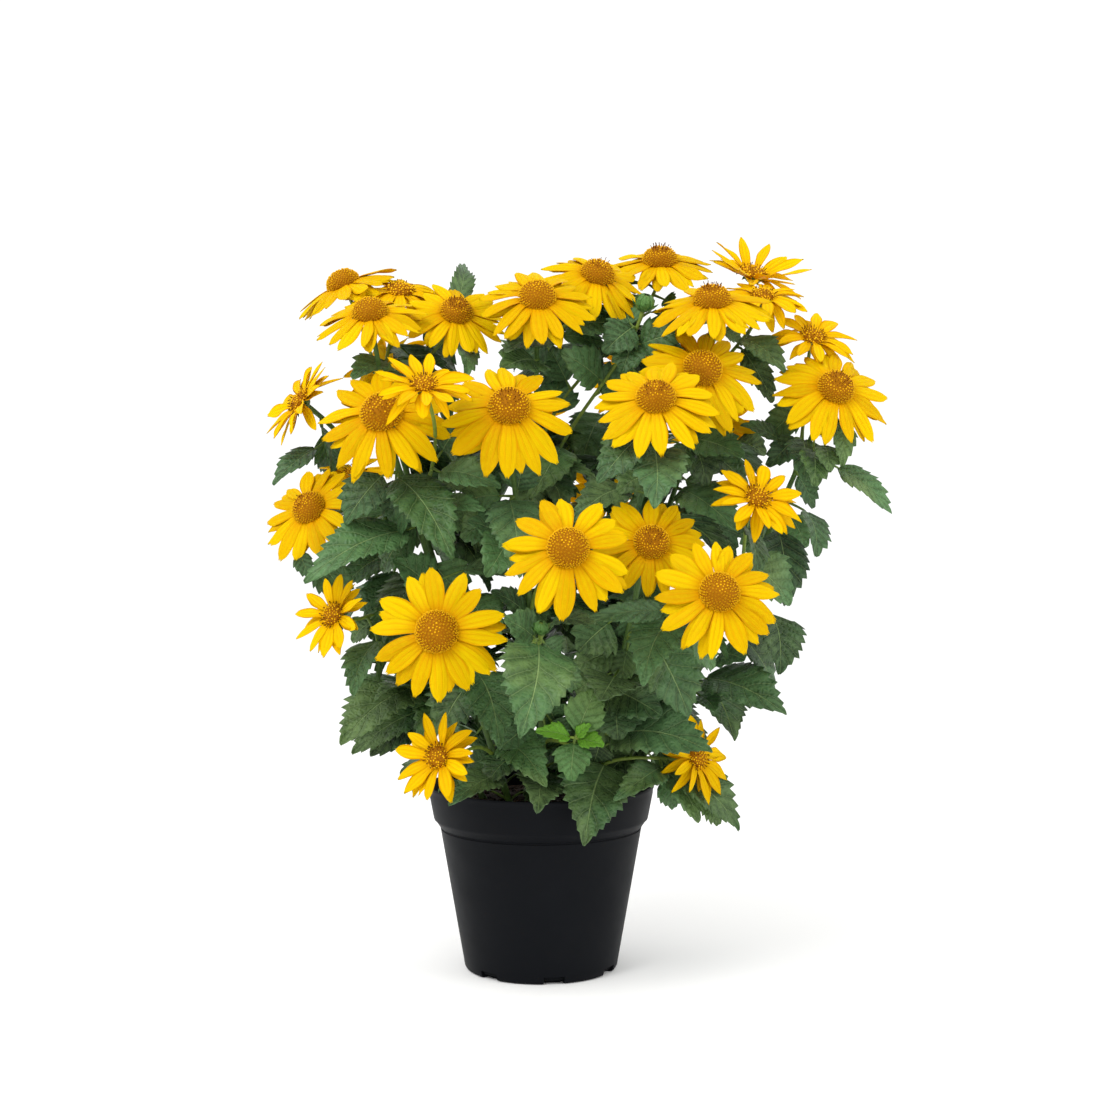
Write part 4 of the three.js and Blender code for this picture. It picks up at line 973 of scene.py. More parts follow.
def soil_crumb():
    """Moist potting compost: peat and bark crumbs, dark brown with paler fibres, quite dull, and darkening to
    black towards the bottom, painted shade where it is seen through the drain slots."""
    made, tree = fresh_material("peat_and_bark_compost")
    peat, bark, black = chosen(bpy.context.scene.pot_looks, "peat", "bark", "plastic")
    place = add(tree, "TexCoord", {}, "Object")
    crumbs = add(tree, "TexNoise", {"Vector": place, "Scale": fineness(4), "Detail": 5})
    crumbs = add(tree, "MapRange", (crumbs, 0.35, 0.7), **SOFT)
    height = add(tree, "SeparateXYZ", {"Vector": place}, "Z")
    # Painted shade: black towards the bottom of the pot, where the soil is seen through the drain slots.
    painted_slot_shade = add(tree, "MapRange", (height, 90 * MM, 30 * MM), **SOFT)
    body = peat
    for share, colour in ((crumbs, bark), (painted_slot_shade, black)):
        body = add(tree, "Mix", {SHARE: share, UNDER: body, OVER: colour}, MIXED, **COLOURS)
    lumps = add(tree, "TexNoise", {"Vector": place, "Scale": fineness(2), "Detail": 6})
    surface = add(tree, "BsdfPrincipled", {
        "Base Color": body,
        "Normal": add(tree, "Bump", {"Height": lumps, "Strength": 1, "Distance": 1.2 * MM}),
        "Roughness": 0.95,
        "Specular IOR Level": 0.15,
    })
    add(tree, "OutputMaterial", {"Surface": surface})
    return made


def fresh_mesh():
    """An empty mesh with the blade's own map and the two values that its material reads."""
    bm = bmesh.new()
    bm.loops.layers.uv.new("blade")
    bm.verts.layers.float.new("shade")
    bm.verts.layers.float.new("youth")
    return bm


def mark(bm, verts, shade, youth):
    shades, youths = bm.verts.layers.float["shade"], bm.verts.layers.float["youth"]
    for v in verts:
        v[shades], v[youths] = shade, youth


def piece(name, bm, materials, nodes):
    """Makes a mesh a piece of the object in metres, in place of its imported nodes."""
    bmesh.ops.scale(bm, vec=(MM, MM, MM), verts=bm.verts)
    mesh = bpy.data.meshes.new(name)
    bm.to_mesh(mesh)
    bm.free()
    mesh.shade_smooth()
    for material in materials:
        mesh.materials.append(material)
    made = bpy.data.objects.new(name, mesh)
    bpy.context.collection.objects.link(made)
    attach(made, "root")
    if nodes:
        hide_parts(*nodes)
    return made


def blade(bm, across, along, thickness, rule, shade=0, youth=0):
    """A closed blade: a grid whose place across, -1 to 1, and along, 0 to 1, the rule turns into a point,
    given its thickness. Returns its faces."""
    verts = bmesh.ops.create_grid(bm, x_segments=across, y_segments=along, size=1, calc_uvs=True)["verts"]
    mark(bm, verts, shade, youth)
    for v in verts:
        v.co = rule(v.co.x, (v.co.y + 1) / 2)
    faces = list({f for v in verts for f in v.link_faces})
    for f in faces:
        f.normal_update()
    for v in verts:
        v.normal_update()
    sinks = [v.normal * thickness for v in verts]
    made = bmesh.ops.extrude_face_region(bm, geom=faces, use_keep_orig=True)["geom"]
    for v, sink in zip(verts, sinks):
        v.co -= sink
    bmesh.ops.reverse_faces(bm, faces=faces)
    sides = {f for v in verts for f in v.link_faces}
    sunk = {g for g in made if isinstance(g, bmesh.types.BMFace)}
    faces = list({*faces, *sides, *sunk})
    for f in faces:
        f.normal_update()
    return faces


def tube(bm, place, radius, sides, rings, material=0, youth=0):
    """A closed tube along a path: place and radius give its middle and size at each share of its length."""
    ring = bmesh.ops.create_circle(bm, cap_ends=True, segments=sides, radius=1)["verts"]
    edges = list({e for v in ring for e in v.link_edges})
    faces = set(ring[0].link_faces)
    side = (place(NUDGE) - place(0)).orthogonal().normalized()
    for k in range(rings + 1):
        share = k / rings
        middle = place(share)
        way = (place(min(share + NUDGE, 1)) - place(max(share - NUDGE, 0))).normalized()
        side = (side - way * side.dot(way)).normalized()
        other, reach, last = way.cross(side), radius(share), ring
        if k < rings:
            made = bmesh.ops.extrude_edge_only(bm, edges=edges)["geom"]
            ring = [g for g in made if isinstance(g, bmesh.types.BMVert)]
            edges = [g for g in made if isinstance(g, bmesh.types.BMEdge) and all(v in ring for v in g.verts)]
            faces.update(g for g in made if isinstance(g, bmesh.types.BMFace))
        mark(bm, last, 0.5, youth)
        for v in last:
            v.co = middle + (side * v.co.x + other * v.co.y) * reach
    faces.update(bmesh.ops.edgeloop_fill(bm, edges=edges)["faces"])
    bmesh.ops.recalc_face_normals(bm, faces=list(faces))
    for f in faces:
        f.material_index = material


def join(whole, bm):
    """Moves a small mesh into a large one, in which each operator would take longer."""
    mesh = bpy.data.meshes.new("joined")
    bm.to_mesh(mesh)
    bm.free()
    whole.from_mesh(mesh)
    bpy.data.meshes.remove(mesh)


def spoke(angle):
    """The unit vectors that point out from a flower head's axis at an angle, and aside from it."""
    return Vector((math.cos(angle), math.sin(angle), 0)), Vector((-math.sin(angle), math.cos(angle), 0))


def add_leaf(whole, leaf, numbers):
    """A leaf with its stalk and raised midrib: coarse teeth of uneven size that lean to the tip, and a blade
    that bulges between its side veins, waves a little and is swept a little to one side."""
    bm, looks = fresh_mesh(), bpy.context.scene.leaf_looks
    along, across, upper = leaf.axes
    length = along.length
    teeth = min(max(round(length / (looks.tooth / MM)), FEWEST_TEETH), MOST_TEETH)
    wave, turn = numbers.uniform(0, 2 * math.pi), numbers.uniform(-1, 1)
    curl = numbers.uniform(*LEAF_CURL)
    deep = {(side, k): numbers.uniform(*TOOTH_DRAWN) for side in (0, 1) for k in range(teeth + 1)}

    def rib(t):
        rise = leaf.arch * length * 4 * t * (1 - t) - curl * length * t * t
        swept = across * (turn * LEAF_SWEEP * length * math.sin(math.pi * t))
        return leaf.base + along * t + upper * rise + swept

    def surface(x, t):
        """The edge swells slowly along each tooth and falls back fast."""
        out = abs(x)
        phase = (t * teeth) % 1
        tooth = (phase * 1.5 if phase < TOOTH_END else 0) * smooth(0.72, 1, out) * deep[x > 0, int(t * teeth)]
        half = leaf.half(min(max(t, 0.004), 0.996))
        half = half * (0.9 + TOOTH_DEPTH * tooth - TIP_TAPER * smooth(0.7, 0.95, t)) + 0.4
        fold = half * (math.sqrt(x * x + 0.03) - 0.17) * math.sin(LEAF_FOLD)
        ripple = RIPPLE * length * x * x * math.sin(3.2 * math.pi * t + wave + (1.3 if x > 0 else 0))
        quilt = abs(math.sin(math.pi * (SIDE_VEINS * t - VEIN_SWEEP * out ** VEIN_CURVE)))
        bulge = BULGE * half * (quilt - 0.5) * smooth(0, 0.2, out) * smooth(1, 0.7, out)
        ahead = TOOTH_LEAN * tooth / teeth * smooth(0, 0.1, 1 - t)
        reach = across * (half * x * math.cos(LEAF_FOLD))
        return rib(t) + along * ahead + reach + upper * (fold + ripple + bulge)

    youth = YOUTHS.get(leaf.look) or numbers.uniform(*LEAF_YOUTH)
    shade = PALE_SHADE if leaf.look == PALE_LOOK else numbers.uniform(*LEAF_SHADE)
    for f in blade(bm, LEAF_ACROSS, TOOTH_SQUARES * teeth, looks.thickness / MM, surface, shade, youth):
        f.material_index = TOP_SKIN if f.normal.dot(upper) > 0 else BACK_SKIN
    bend, end = leaf.root.lerp(leaf.base, 0.4), leaf.base + along * 0.03
    stalk = Curve(leaf.root, bend, leaf.base - along * 0.05, end)
    tube(bm, stalk.point, lambda s: between(*LEAF_STALK_RADII, s), 6, 5, STEM_SKIN, 0.4 + youth / 2)
    under = upper * (looks.thickness / MM + 0.15)
    tube(
        bm,
        lambda s: rib(0.02 + 0.85 * s) - under,
        lambda s: between(*MIDRIB_RADII, s),
        5, 10, STEM_SKIN, 0.5,
    )
    join(whole, bm)


def add_bracts(whole, head, numbers):
    """The green cup under a bloom: a funnel with two rows of narrow bracts that spread from it."""
    bm, radius = fresh_mesh(), head.span / 2
    matrix = head.matrix

    def wall(s):
        return matrix @ Vector((0, 0, between(-CUP_DEPTH, -0.2, s)))

    tube(bm, wall, lambda s: between(STALK_RADII[0], 0.25 * radius, s ** 0.6), 14, 5, STEM_SKIN, 0.5)
    for i in range(BRACTS):
        outer = i % 2
        angle = 2 * math.pi * i / BRACTS + numbers.uniform(-0.12, 0.12)
        way, side = spoke(angle)
        reach = radius * (0.36 if outer else 0.31) * numbers.uniform(0.9, 1.1)
        half = radius * 0.05

        def place(x, t):
            out = between(0.1 * radius, reach, t)
            drop = -4.6 + 4.2 * smooth(0, 0.75, t) - (1.1 if outer else 0.3) - outer * 2.4 * t ** 3
            wide = half * (1 - t ** 2.2) ** 0.6 + 0.12
            return matrix @ (way * out + side * x * wide + UP * (drop + 0.4 * x * x))

        for f in blade(bm, *BRACT_GRID, 0.4, place, 0.5, 0.15):
            f.material_index = TOP_SKIN if f.normal.dot(head.way) > 0 else BACK_SKIN
    join(whole, bm)


def add_bud(whole, head, numbers):
    """A green bud: a rounded body wrapped in narrow bracts that close over it, and some that stand off."""
    bm, radius = fresh_mesh(), head.span / 2
    matrix = head.matrix
    ball = bmesh.ops.create_uvsphere(bm, u_segments=16, v_segments=10, radius=radius * 0.8)["verts"]
    mark(bm, ball, 0.5, 0.6)
    for v in ball:
        v.co = matrix @ v.co
    for f in {f for v in ball for f in v.link_faces}:
        f.material_index = STEM_SKIN
    for i in range(BUD_INNER_BRACTS + BUD_OUTER_BRACTS):
        outer = i >= BUD_INNER_BRACTS
        angle = 2 * math.pi * (i / BUD_OUTER_BRACTS if outer else i / BUD_INNER_BRACTS)
        way, side = spoke(angle)
        spread, height = numbers.uniform(0.9, 1.05), radius * (0.9 if outer else 1.05)
        bow = 0.55 if outer else 0

        def place(x, t):
            tilt = between(-0.9, 0.2 if outer else 1.25, t)
            out, rise = radius * (spread + bow * t * t) * math.cos(tilt), height * math.sin(tilt)
            wide = radius * 0.3 * math.sin(math.pi * min(t * 0.9 + 0.12, 1)) ** 0.7 + 0.1
            return matrix @ (way * out + side * x * wide + UP * rise)

        for f in blade(bm, *BRACT_GRID, 0.3, place, 0.6, 0.35):
            f.material_index = TOP_SKIN
    join(whole, bm)


def add_stem(whole, stem):
    """The tubes of a stem and its stalks. A stalk starts on the stem's true curve and widens at its head."""
    bm = fresh_mesh()
    tube(
        bm,
        stem.main.point,
        lambda s: between(*STEM_RADII, s) + 0.7 * smooth(0.96, 1, s),
        12, 36, STEM_SKIN, 0.1,
    )
    for curve, share in stem.stalks:
        shift = stem.main.point(share) - curve.point(0)
        tube(
            bm,
            lambda s: curve.point(s) + shift * (1 - s) ** 3,
            lambda s: between(*STALK_RADII, smooth(0, 0.3, s)) + 0.6 * smooth(0.93, 1, s),
            10, 20, STEM_SKIN, 0.85,
        )
    if stem.shoot:
        tube(bm, stem.shoot.point, lambda s: between(*SHOOT_RADII, s), 8, 14, STEM_SKIN, 0.8)
    join(whole, bm)


def add_ray(bm, head, down, angle, half, reach, lift, layer, numbers):
    """A petal: a narrow strap, broadest past its middle, with two grooves along it and a notched tip. Those
    of a ripe bloom arch and twist a little, and those of a young one are channelled."""
    looks, style = bpy.context.scene.flower_looks, head.style
    radius, matrix = head.span / 2, head.matrix
    slope = math.tan(math.radians(head.cup)) + lift * style.lift
    bend = style.bend + numbers.uniform(*RAY_BEND)
    start = HUB_SHARE * RAY_START
    way, side = spoke(angle)
    broad = WIDEST_AT * reach * radius * math.sin(half) * numbers.uniform(*style.breadth)
    broad *= looks.ripe_width if head.ripe else looks.young_width
    limits = (RAY_ROLL, RAY_TWIST, style.channel, RAY_SWEEP, RAY_FLUTTER, RAY_TURN, style.bluntness)
    roll, twist, channel, sweep, flutter, turn, blunt = (numbers.uniform(*pair) for pair in limits)

    def place(x, t):
        width = broad * (0.52 + 0.48 * smooth(0, 0.6, t)) * (1 - max((t - 0.45) / 0.575, 0) ** blunt) ** 0.7
        notch = 0.018 * math.cos(3 * math.pi * x) * smooth(0.86, 1, t)
        share = between(start, reach, t) + notch
        out = max(share - HUB_SHARE, 0) * radius
        height = GAP + HUB_THICK / 2 + out * slope + bend * out * out / radius
        height -= layer + 0.8 * (1 - smooth(0, 0.2, t))
        ridges = 0.075 * width * math.cos(3 * math.pi * x) * smooth(0, 0.25, t)
        curl = channel * x * x + flutter * x * abs(x) * math.sin(6 * t + turn)
        height += ridges + width * (curl * smooth(0, 0.3, t) + (roll + twist * t * t) * x)
        aside = x * width * (1 + 0.2 * flutter * math.sin(9 * t + 2 * turn)) + sweep * out * (0.4 + t)
        droop = down * (DROOP * out * out / radius)
        return matrix @ (way * share * radius + side * aside + UP * height + droop)

    youth = numbers.uniform(*style.youth)
    blade(bm, *RAY_GRID, looks.petal_thickness / MM, place, numbers.uniform(0, 1), youth)


def add_rays(bm, head, index):
    """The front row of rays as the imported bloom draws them, and a looser row behind in the gaps."""
    numbers, more = draws(RAY_SEED + index), random.Random(index)
    pitch = 2 * math.pi / head.style.count
    down = UP.rotation_difference(head.way).inverted() @ -UP
    for i in range(head.style.count):
        half = pitch * between(NARROW_HALF, BROAD_HALF, next(numbers))
        reach = between(SHORTEST_RAY, LONGEST_RAY, next(numbers))
        lift = between(-TIP_LIFT, TIP_LIFT, next(numbers))
        angle = pitch * (i + 0.5) + more.uniform(-FRONT_SWAY, FRONT_SWAY)
        add_ray(bm, head, down, angle, half, reach, lift, FRONT_LAYER * (i % 2), more)
    behind = bpy.context.scene.flower_looks.behind
    for i in range(behind):
        angle = 2 * math.pi * (i + 0.5 + more.uniform(-BEHIND_SWAY, BEHIND_SWAY)) / behind
        reach, lift = more.uniform(*BEHIND_REACH), more.uniform(*head.style.behind)
        layer = BEHIND_LAYER + LAYER_STEP * (i % 2)
        add_ray(bm, head, down, angle, pitch * BEHIND_HALF, reach, lift, layer, more)


def floret_mesh(height, width, open_lip):
    """One floret: a five-sided tube, wider at its lip where it is open, with its map's height along it. The
    sunk middle of an open lip sits low on the map, so it takes the painted shade deep between florets.
    """
    bm = fresh_mesh()
    ends = bmesh.ops.create_cone(
        bm, cap_ends=True, segments=5, radius1=width * 0.75, radius2=width, depth=height
    )["verts"]
    top = [f for f in bm.faces if f.normal.z > 0.9]
    bmesh.ops.translate(bm, vec=(0, 0, height / 2), verts=ends)
    depth = -width * (0.9 if open_lip else -0.5)
    bmesh.ops.inset_region(bm, faces=top, thickness=width * 0.45, depth=depth)
    style = bm.loops.layers.uv["blade"]
    inner = {v for f in top for v in f.verts}
    for f in bm.faces:
        for loop in f.loops:
            share = loop.vert.co.z / height
            loop[style].uv = (0.5, 0.1 if open_lip and loop.vert in inner else min(share, 1))
    mesh = bpy.data.meshes.new("floret")
    bm.to_mesh(mesh)
    bm.free()
    return mesh


def add_floret(bm, shape, matrix, shade, anther):
    """Adds a copy of a floret in its place, and marks it as a floret of this shade or as an anther."""
    copy = shape.copy()
    copy.transform(matrix)
    for name, value in (("shade", shade), ("youth", anther)):
        for item in copy.attributes[name].data:
            item.value = value
    bm.from_mesh(copy)
    bpy.data.meshes.remove(copy)


def add_disc(bm, head, index):
    """The dome, and its florets in the spiral order in which they open, from the rim to the middle. Dark
    anthers stand round the top of some ripe domes and over most of a young disc."""
    looks = bpy.context.scene.flower_looks
    numbers = random.Random(DISC_SEED + index)
    radius = head.span / 2 * (DISC_SHARE if head.ripe else DISC_SHARE * YOUNG_DISC_SHARE)
    rise = radius * (DISC_HEIGHT * RIPE_DISC_RISE if head.ripe else YOUNG_DISC_RISE)
    foot = GAP + HUB_THICK - (0 if head.ripe else YOUNG_DISC_DROP)
    bmesh.ops.create_uvsphere(bm, u_segments=28, v_segments=16, radius=1)
    whole = [*bm.verts, *bm.edges, *bm.faces]
    bmesh.ops.bisect_plane(bm, geom=whole, plane_co=(0, 0, -0.15), plane_no=(0, 0, -1), clear_outer=True)
    bmesh.ops.holes_fill(bm, edges=[e for e in bm.edges if e.is_boundary])
    mark(bm, bm.verts, 0.3, 0)
    # The dome sits low on the map, so it takes the painted shade deep between florets.
    style = bm.loops.layers.uv["blade"]
    for f in bm.faces:
        for loop in f.loops:
            loop[style].uv = (0.5, 0.15)
    for v in bm.verts:
        x, y, z = v.co
        point = Vector((x * radius * DOME_SHARE, y * radius * DOME_SHARE, foot + z * rise * DOME_RISE))
        v.co = head.matrix @ point
    count = looks.florets if head.ripe else looks.florets // 3
    size = radius / math.sqrt(count)
    opened, closed = floret_mesh(1.9 * size, 0.7 * size, True), floret_mesh(1.3 * size, 0.78 * size, False)
    unopened = FLORETS_UNOPENED[index % 3]
    spike = floret_mesh(3.4, 0.34, False)
    for i in range(count):
        share = math.sqrt((i + 0.5) / count)
        angle = i * math.pi * (3 - math.sqrt(5))
        tilt = share * math.pi * 0.52
        across = spoke(angle)[0] * math.sin(tilt)
        normal = (across / radius + UP * math.cos(tilt) / rise).normalized()
        point = across * radius * DOME_SHARE + UP * (foot + math.cos(tilt) * rise * DOME_RISE)
        if head.ripe:
            anther = 0.12 < share < 0.34 and numbers.random() < 0.42 * (index % 3)
            shape = spike if anther else opened if share > unopened else closed
        else:
            anther = share > 0.3 and numbers.random() < 0.4
            shape = spike if anther else closed
        lean, drift = (Vector([numbers.uniform(-1, 1) for _ in range(3)]) for _ in range(2))
        way = (normal + FLORET_LEAN * lean).normalized()
        point += (drift - normal * drift.dot(normal)) * FLORET_DRIFT * size
        wide = numbers.uniform(0.75, 1.15)
        scale = Matrix.Diagonal((wide, wide, numbers.uniform(0.65, 1.15), 1))
        turn = way.to_track_quat("Z", "Y").to_matrix().to_4x4()
        spin = Matrix.Rotation(numbers.uniform(0, math.pi), 4, "Z")
        matrix = head.matrix @ Matrix.Translation(point - way * 0.4 * size) @ turn @ spin @ scale
        # Painted shade: the open lips are darker towards the rim of the disc, where it meets the petals.
        lightest = 1 - 0.5 * smooth(0.8, 1, share) if share > unopened else 0.5
        add_floret(bm, shape, matrix, numbers.uniform(0, lightest), anther)
    for shape in (opened, closed, spike):
        bpy.data.meshes.remove(shape)


def body_radius(height):
    return between(FOOT_RADIUS, SHOULDER_RADIUS, height / (POT_HEIGHT - BAND_HEIGHT - BAND_CHAMFER))


def spun(bm, outline, steps):
    """Turns a closed outline of (radius, height) points once round the upright axis."""
    verts = [bm.verts.new((radius, 0, height)) for radius, height in outline]
    edges = [bm.edges.new(pair) for pair in zip(verts, verts[1:])]
    whole, turn = [*verts, *edges], 2 * math.pi
    bmesh.ops.spin(bm, geom=whole, cent=(0, 0, 0), axis=UP, angle=turn, steps=steps, use_merge=True)
    bmesh.ops.remove_doubles(bm, verts=bm.verts, dist=1e-4)
    bmesh.ops.recalc_face_normals(bm, faces=bm.faces)


def build_pot():
    """The moulded pot: lip, band, groove, tapered body and slotted foot, as one wall of even thickness."""
    bm = fresh_mesh()
    band = POT_HEIGHT - BAND_HEIGHT
    shoulder = band - BAND_CHAMFER
    slot_inner = FOOT_RADIUS - SLOT_REACH / 2
    outer = [
        (0, 0), (slot_inner, 0), (FOOT_RADIUS - FOOT_BEVEL, 0), (FOOT_RADIUS - 0.6, 0.4),
        (body_radius(FOOT_BEVEL), FOOT_BEVEL), (body_radius(SLOT_HEIGHT), SLOT_HEIGHT), (body_radius(9), 9),
        (body_radius(shoulder / 2), shoulder / 2), (body_radius(shoulder - 3), shoulder - 3),
        (SHOULDER_RADIUS - 0.2, shoulder - 1.5), (SHOULDER_RADIUS - 0.9, shoulder - 1.3),
        (SHOULDER_RADIUS - 0.9, shoulder - 0.2), (SHOULDER_RADIUS + 0.5, shoulder + 0.6),
        (RIM_RADIUS - BAND_TAPER - 1.6, band - 1.2), (RIM_RADIUS - BAND_TAPER - 0.4, band - 0.1),
        (RIM_RADIUS - BAND_TAPER, band + 1.2), (RIM_RADIUS - 0.9, POT_HEIGHT - 6),
        (RIM_RADIUS - 0.75, POT_HEIGHT - 3.2), (RIM_RADIUS - 0.2, POT_HEIGHT - 2.2),
        (RIM_RADIUS, POT_HEIGHT - 1.3), (RIM_RADIUS - 0.3, POT_HEIGHT - 0.3),
        (RIM_RADIUS - WALL / 2, POT_HEIGHT),
    ]
    inner = [
        (RIM_RADIUS - WALL + 0.15, POT_HEIGHT - 0.3), (RIM_RADIUS - WALL, POT_HEIGHT - 1.2),
        (RIM_RADIUS - BAND_TAPER - WALL, band + 1), (SHOULDER_RADIUS - WALL, shoulder + WALL / 2),
        (body_radius(SLOT_HEIGHT) - WALL, SLOT_HEIGHT), (body_radius(FLOOR_THICK) - WALL, FLOOR_THICK),
        (slot_inner, FLOOR_THICK), (0, FLOOR_THICK),
    ]
    spun(bm, outer + inner, 20 * SLOT_COUNT)
    doomed = []
    half = math.asin(SLOT_WIDTH / 2 / FOOT_RADIUS)
    for f in bm.faces:
        middle = f.calc_center_median()
        reach = math.hypot(middle.x, middle.y)
        turn = math.atan2(middle.x, -middle.y) - math.radians(SLOT_FIRST)
        pitch = 2 * math.pi / SLOT_COUNT
        aside = (turn + pitch / 2) % pitch - pitch / 2
        if middle.z < SLOT_HEIGHT and reach > slot_inner and abs(aside) < half:
            doomed.append(f)
    bmesh.ops.delete(bm, geom=doomed, context="FACES")
    for k in range(SLOT_COUNT):
        turn = math.radians(SLOT_FIRST) + 2 * math.pi * k / SLOT_COUNT
        way = Vector((math.sin(turn), -math.cos(turn), 0))
        rims = [e for e in bm.edges if e.is_boundary]
        ways = [(e.verts[0].co + e.verts[1].co).xy.normalized() for e in rims]
        edges = [e for e, out in zip(rims, ways) if out.dot(way.xy) > math.cos(half * 1.6)]
        bmesh.ops.bridge_loops(bm, edges=edges)
    bmesh.ops.recalc_face_normals(bm, faces=bm.faces)
    made = piece("fine_pot", bm, [pot_plastic()], ["pot"])
    sharpen(made, EDGE_ANGLE)
    return made


def sharpen(made, degrees):
    """Keeps edges that turn more than this sharp in the shading."""
    mesh = made.data
    bm = bmesh.new()
    bm.from_mesh(mesh)
    for e in bm.edges:
        e.smooth = not (e.is_manifold and e.calc_face_angle() > math.radians(degrees))
    bm.to_mesh(mesh)
    bm.free()


def soil_height(share):
    """How high the soil stands at a share of the way in from its edge."""
    return SOIL_TOP + SOIL_SWELL * smooth(0, 0.5, share)


def build_soil():
    """The compost: its mass as packed, its surface lumpy, with crumbs and bark chips sunk half into it."""
    bm = fresh_mesh()
    numbers = random.Random(SOIL_SEED)
    band = POT_HEIGHT - BAND_HEIGHT
    shoulder = band - BAND_CHAMFER
    inner = RIM_RADIUS - BAND_TAPER - WALL
    mass = [
        (0, FLOOR_THICK + GAP), (body_radius(FLOOR_THICK) - WALL - 3 * GAP, FLOOR_THICK + GAP),
        (SHOULDER_RADIUS - WALL - 3 * GAP, shoulder + WALL / 2), (inner - 3 * GAP, band + WALL),
        (inner - 2 * GAP, SOIL_TOP),
    ]
    shares = [k / SOIL_RINGS for k in range(1, SOIL_RINGS + 1)]
    top = [(between(inner - 2 * GAP, 0, share), soil_height(share)) for share in shares]
    spun(bm, mass + top, 72)
    for v in bm.verts:
        if v.co.z > SOIL_TOP - 0.5 and v.co.xy.length < inner - 1:
            v.co.z += 1.6 * noise.noise(v.co / 9) + 0.9 * noise.noise(v.co / 3.5)
    for _ in range(bpy.context.scene.pot_looks.crumbs):
        angle, reach = numbers.uniform(0, 2 * math.pi), (inner - 4) * math.sqrt(numbers.random())
        height = soil_height(1 - reach / inner) + 0.3
        size = numbers.uniform(*CRUMB_SIZE)
        stretch = Matrix.Diagonal([numbers.uniform(*limits) for limits in CRUMB_STRETCH] + [1])
        spin = Matrix.Rotation(numbers.uniform(0, 6.3), 4, "Z")
        tilt = Matrix.Rotation(numbers.uniform(-0.5, 0.5), 4, "X")
        place = Matrix.Translation((math.cos(angle) * reach, math.sin(angle) * reach, height))
        bmesh.ops.create_icosphere(bm, subdivisions=1, radius=size, matrix=place @ (spin @ tilt) @ stretch)
    return piece("fine_soil", bm, [soil_crumb()], ["soil"])


def colour_choice(name, description, shade):
    """A colour that a user may change, given as an sRGB hex value."""
    return bpy.props.FloatVectorProperty(
        name=name, description=description, size=4, subtype="COLOR", default=linear(shade)
    )


def length_choice(name, description, metres):
    """A length that a user may change."""
    return bpy.props.FloatProperty(name=name, description=description, default=metres, unit="LENGTH")


class LeafLooks(bpy.types.PropertyGroup):
    """Sizes and colours of the leaves and stems."""
    thickness: length_choice("Leaf thickness", "Thickness of a leaf's blade", 0.00045)
    tooth: length_choice("Tooth length", "Distance from tooth to tooth along a leaf's edge", 0.0066)
    spacing: length_choice("Inner leaf spacing", "Distance between the nodes of the inner leaves", 0.02)
    reach: length_choice("Inner leaf reach", "How far the inner leaves may stand from the middle", 0.13)
    dark: colour_choice("Dark", "Leaf colour in its darker patches", "#152A16")
    light: colour_choice("Light", "Leaf colour in its lighter patches", "#52764A")
    olive: colour_choice("Olive", "Leaf colour in its lighter patches where it is more yellow", "#647D4A")
    pale: colour_choice("Underside", "Colour of a leaf's underside", "#6E8A62")
    vein: colour_choice("Veins", "Colour of a leaf's veins", "#94AE6E")
    young: colour_choice("Young", "Colour of a young leaf", "#609628")
    stem: colour_choice("Stem", "Colour of the leafy stems", "#46652C")
    stalk: colour_choice("Stalk", "Colour of the flower stalks", "#7B8F34")


class FlowerLooks(bpy.types.PropertyGroup):
    """Sizes, numbers and colours of the blooms."""
    petal_thickness: length_choice("Petal thickness", "Thickness of a petal", 0.0003)
    ripe_width: bpy.props.FloatProperty(
        name="Ripe width",
        description="Width of a ripe bloom's petals in shares of the packed ray's",
        default=1.0,
        subtype="FACTOR",
    )
    young_width: bpy.props.FloatProperty(
        name="Young width",
        description="Width of a young bloom's petals in shares of the packed ray's",
        default=0.88,
        subtype="FACTOR",
    )
    behind: bpy.props.IntProperty(name="Petals behind", description="Petals in the row behind", default=10)
    florets: bpy.props.IntProperty(name="Florets", description="Florets on a ripe bloom's disc", default=310)
    anther: colour_choice("Anther", "Colour of the anthers", "#5A2C04")
    # Also used as painted shade in the petals' grooves and along their edges.
    base: colour_choice("Petal base", "Petal colour at its base", "#D48A00")
    gold: colour_choice("Gold", "Main petal colour", "#C09400")
    bright: colour_choice("Bright", "Lightest petal colour", "#D8B200")
    orange: colour_choice("Orange", "Petal colour of young blooms", "#F8BE00")
    # Painted shade: the colour deep between the florets and on the dome stands in for the shade there.
    deep: colour_choice("Between florets", "Colour deep between florets", "#9A6202")
    floret: colour_choice("Floret", "Colour of a floret's tube", "#D29808")
    lip: colour_choice("Lip", "Colour of a floret's open lip", "#F0BE12")


class PotLooks(bpy.types.PropertyGroup):
    """Colours of the pot and soil, and the crumbs on the soil."""
    crumbs: bpy.props.IntProperty(name="Crumbs", description="Crumbs and bark chips on the soil", default=420)
    # Also used as the painted shade at the bottom of the soil.
    plastic: colour_choice("Plastic", "Pot colour", "#0A0C10")
    dust: colour_choice("Dust", "Colour of dust on the pot", "#14161A")
    peat: colour_choice("Peat", "Dark soil colour", "#1E1510")
    bark: colour_choice("Bark", "Light soil colour", "#4A3526")


class StageLooks(bpy.types.PropertyGroup):
    """Strengths of the studio light."""
    sky: bpy.props.FloatProperty(name="Surround", description="Brightness of the white surround", default=1.1)
    key: bpy.props.FloatProperty(
        name="Key light",
        description="Power of the large lamp at the upper left",
        default=22,
        subtype="POWER",
    )
    fill: bpy.props.FloatProperty(
        name="Fill light",
        description="Power of the lamp at the right",
        default=7,
        subtype="POWER",
    )


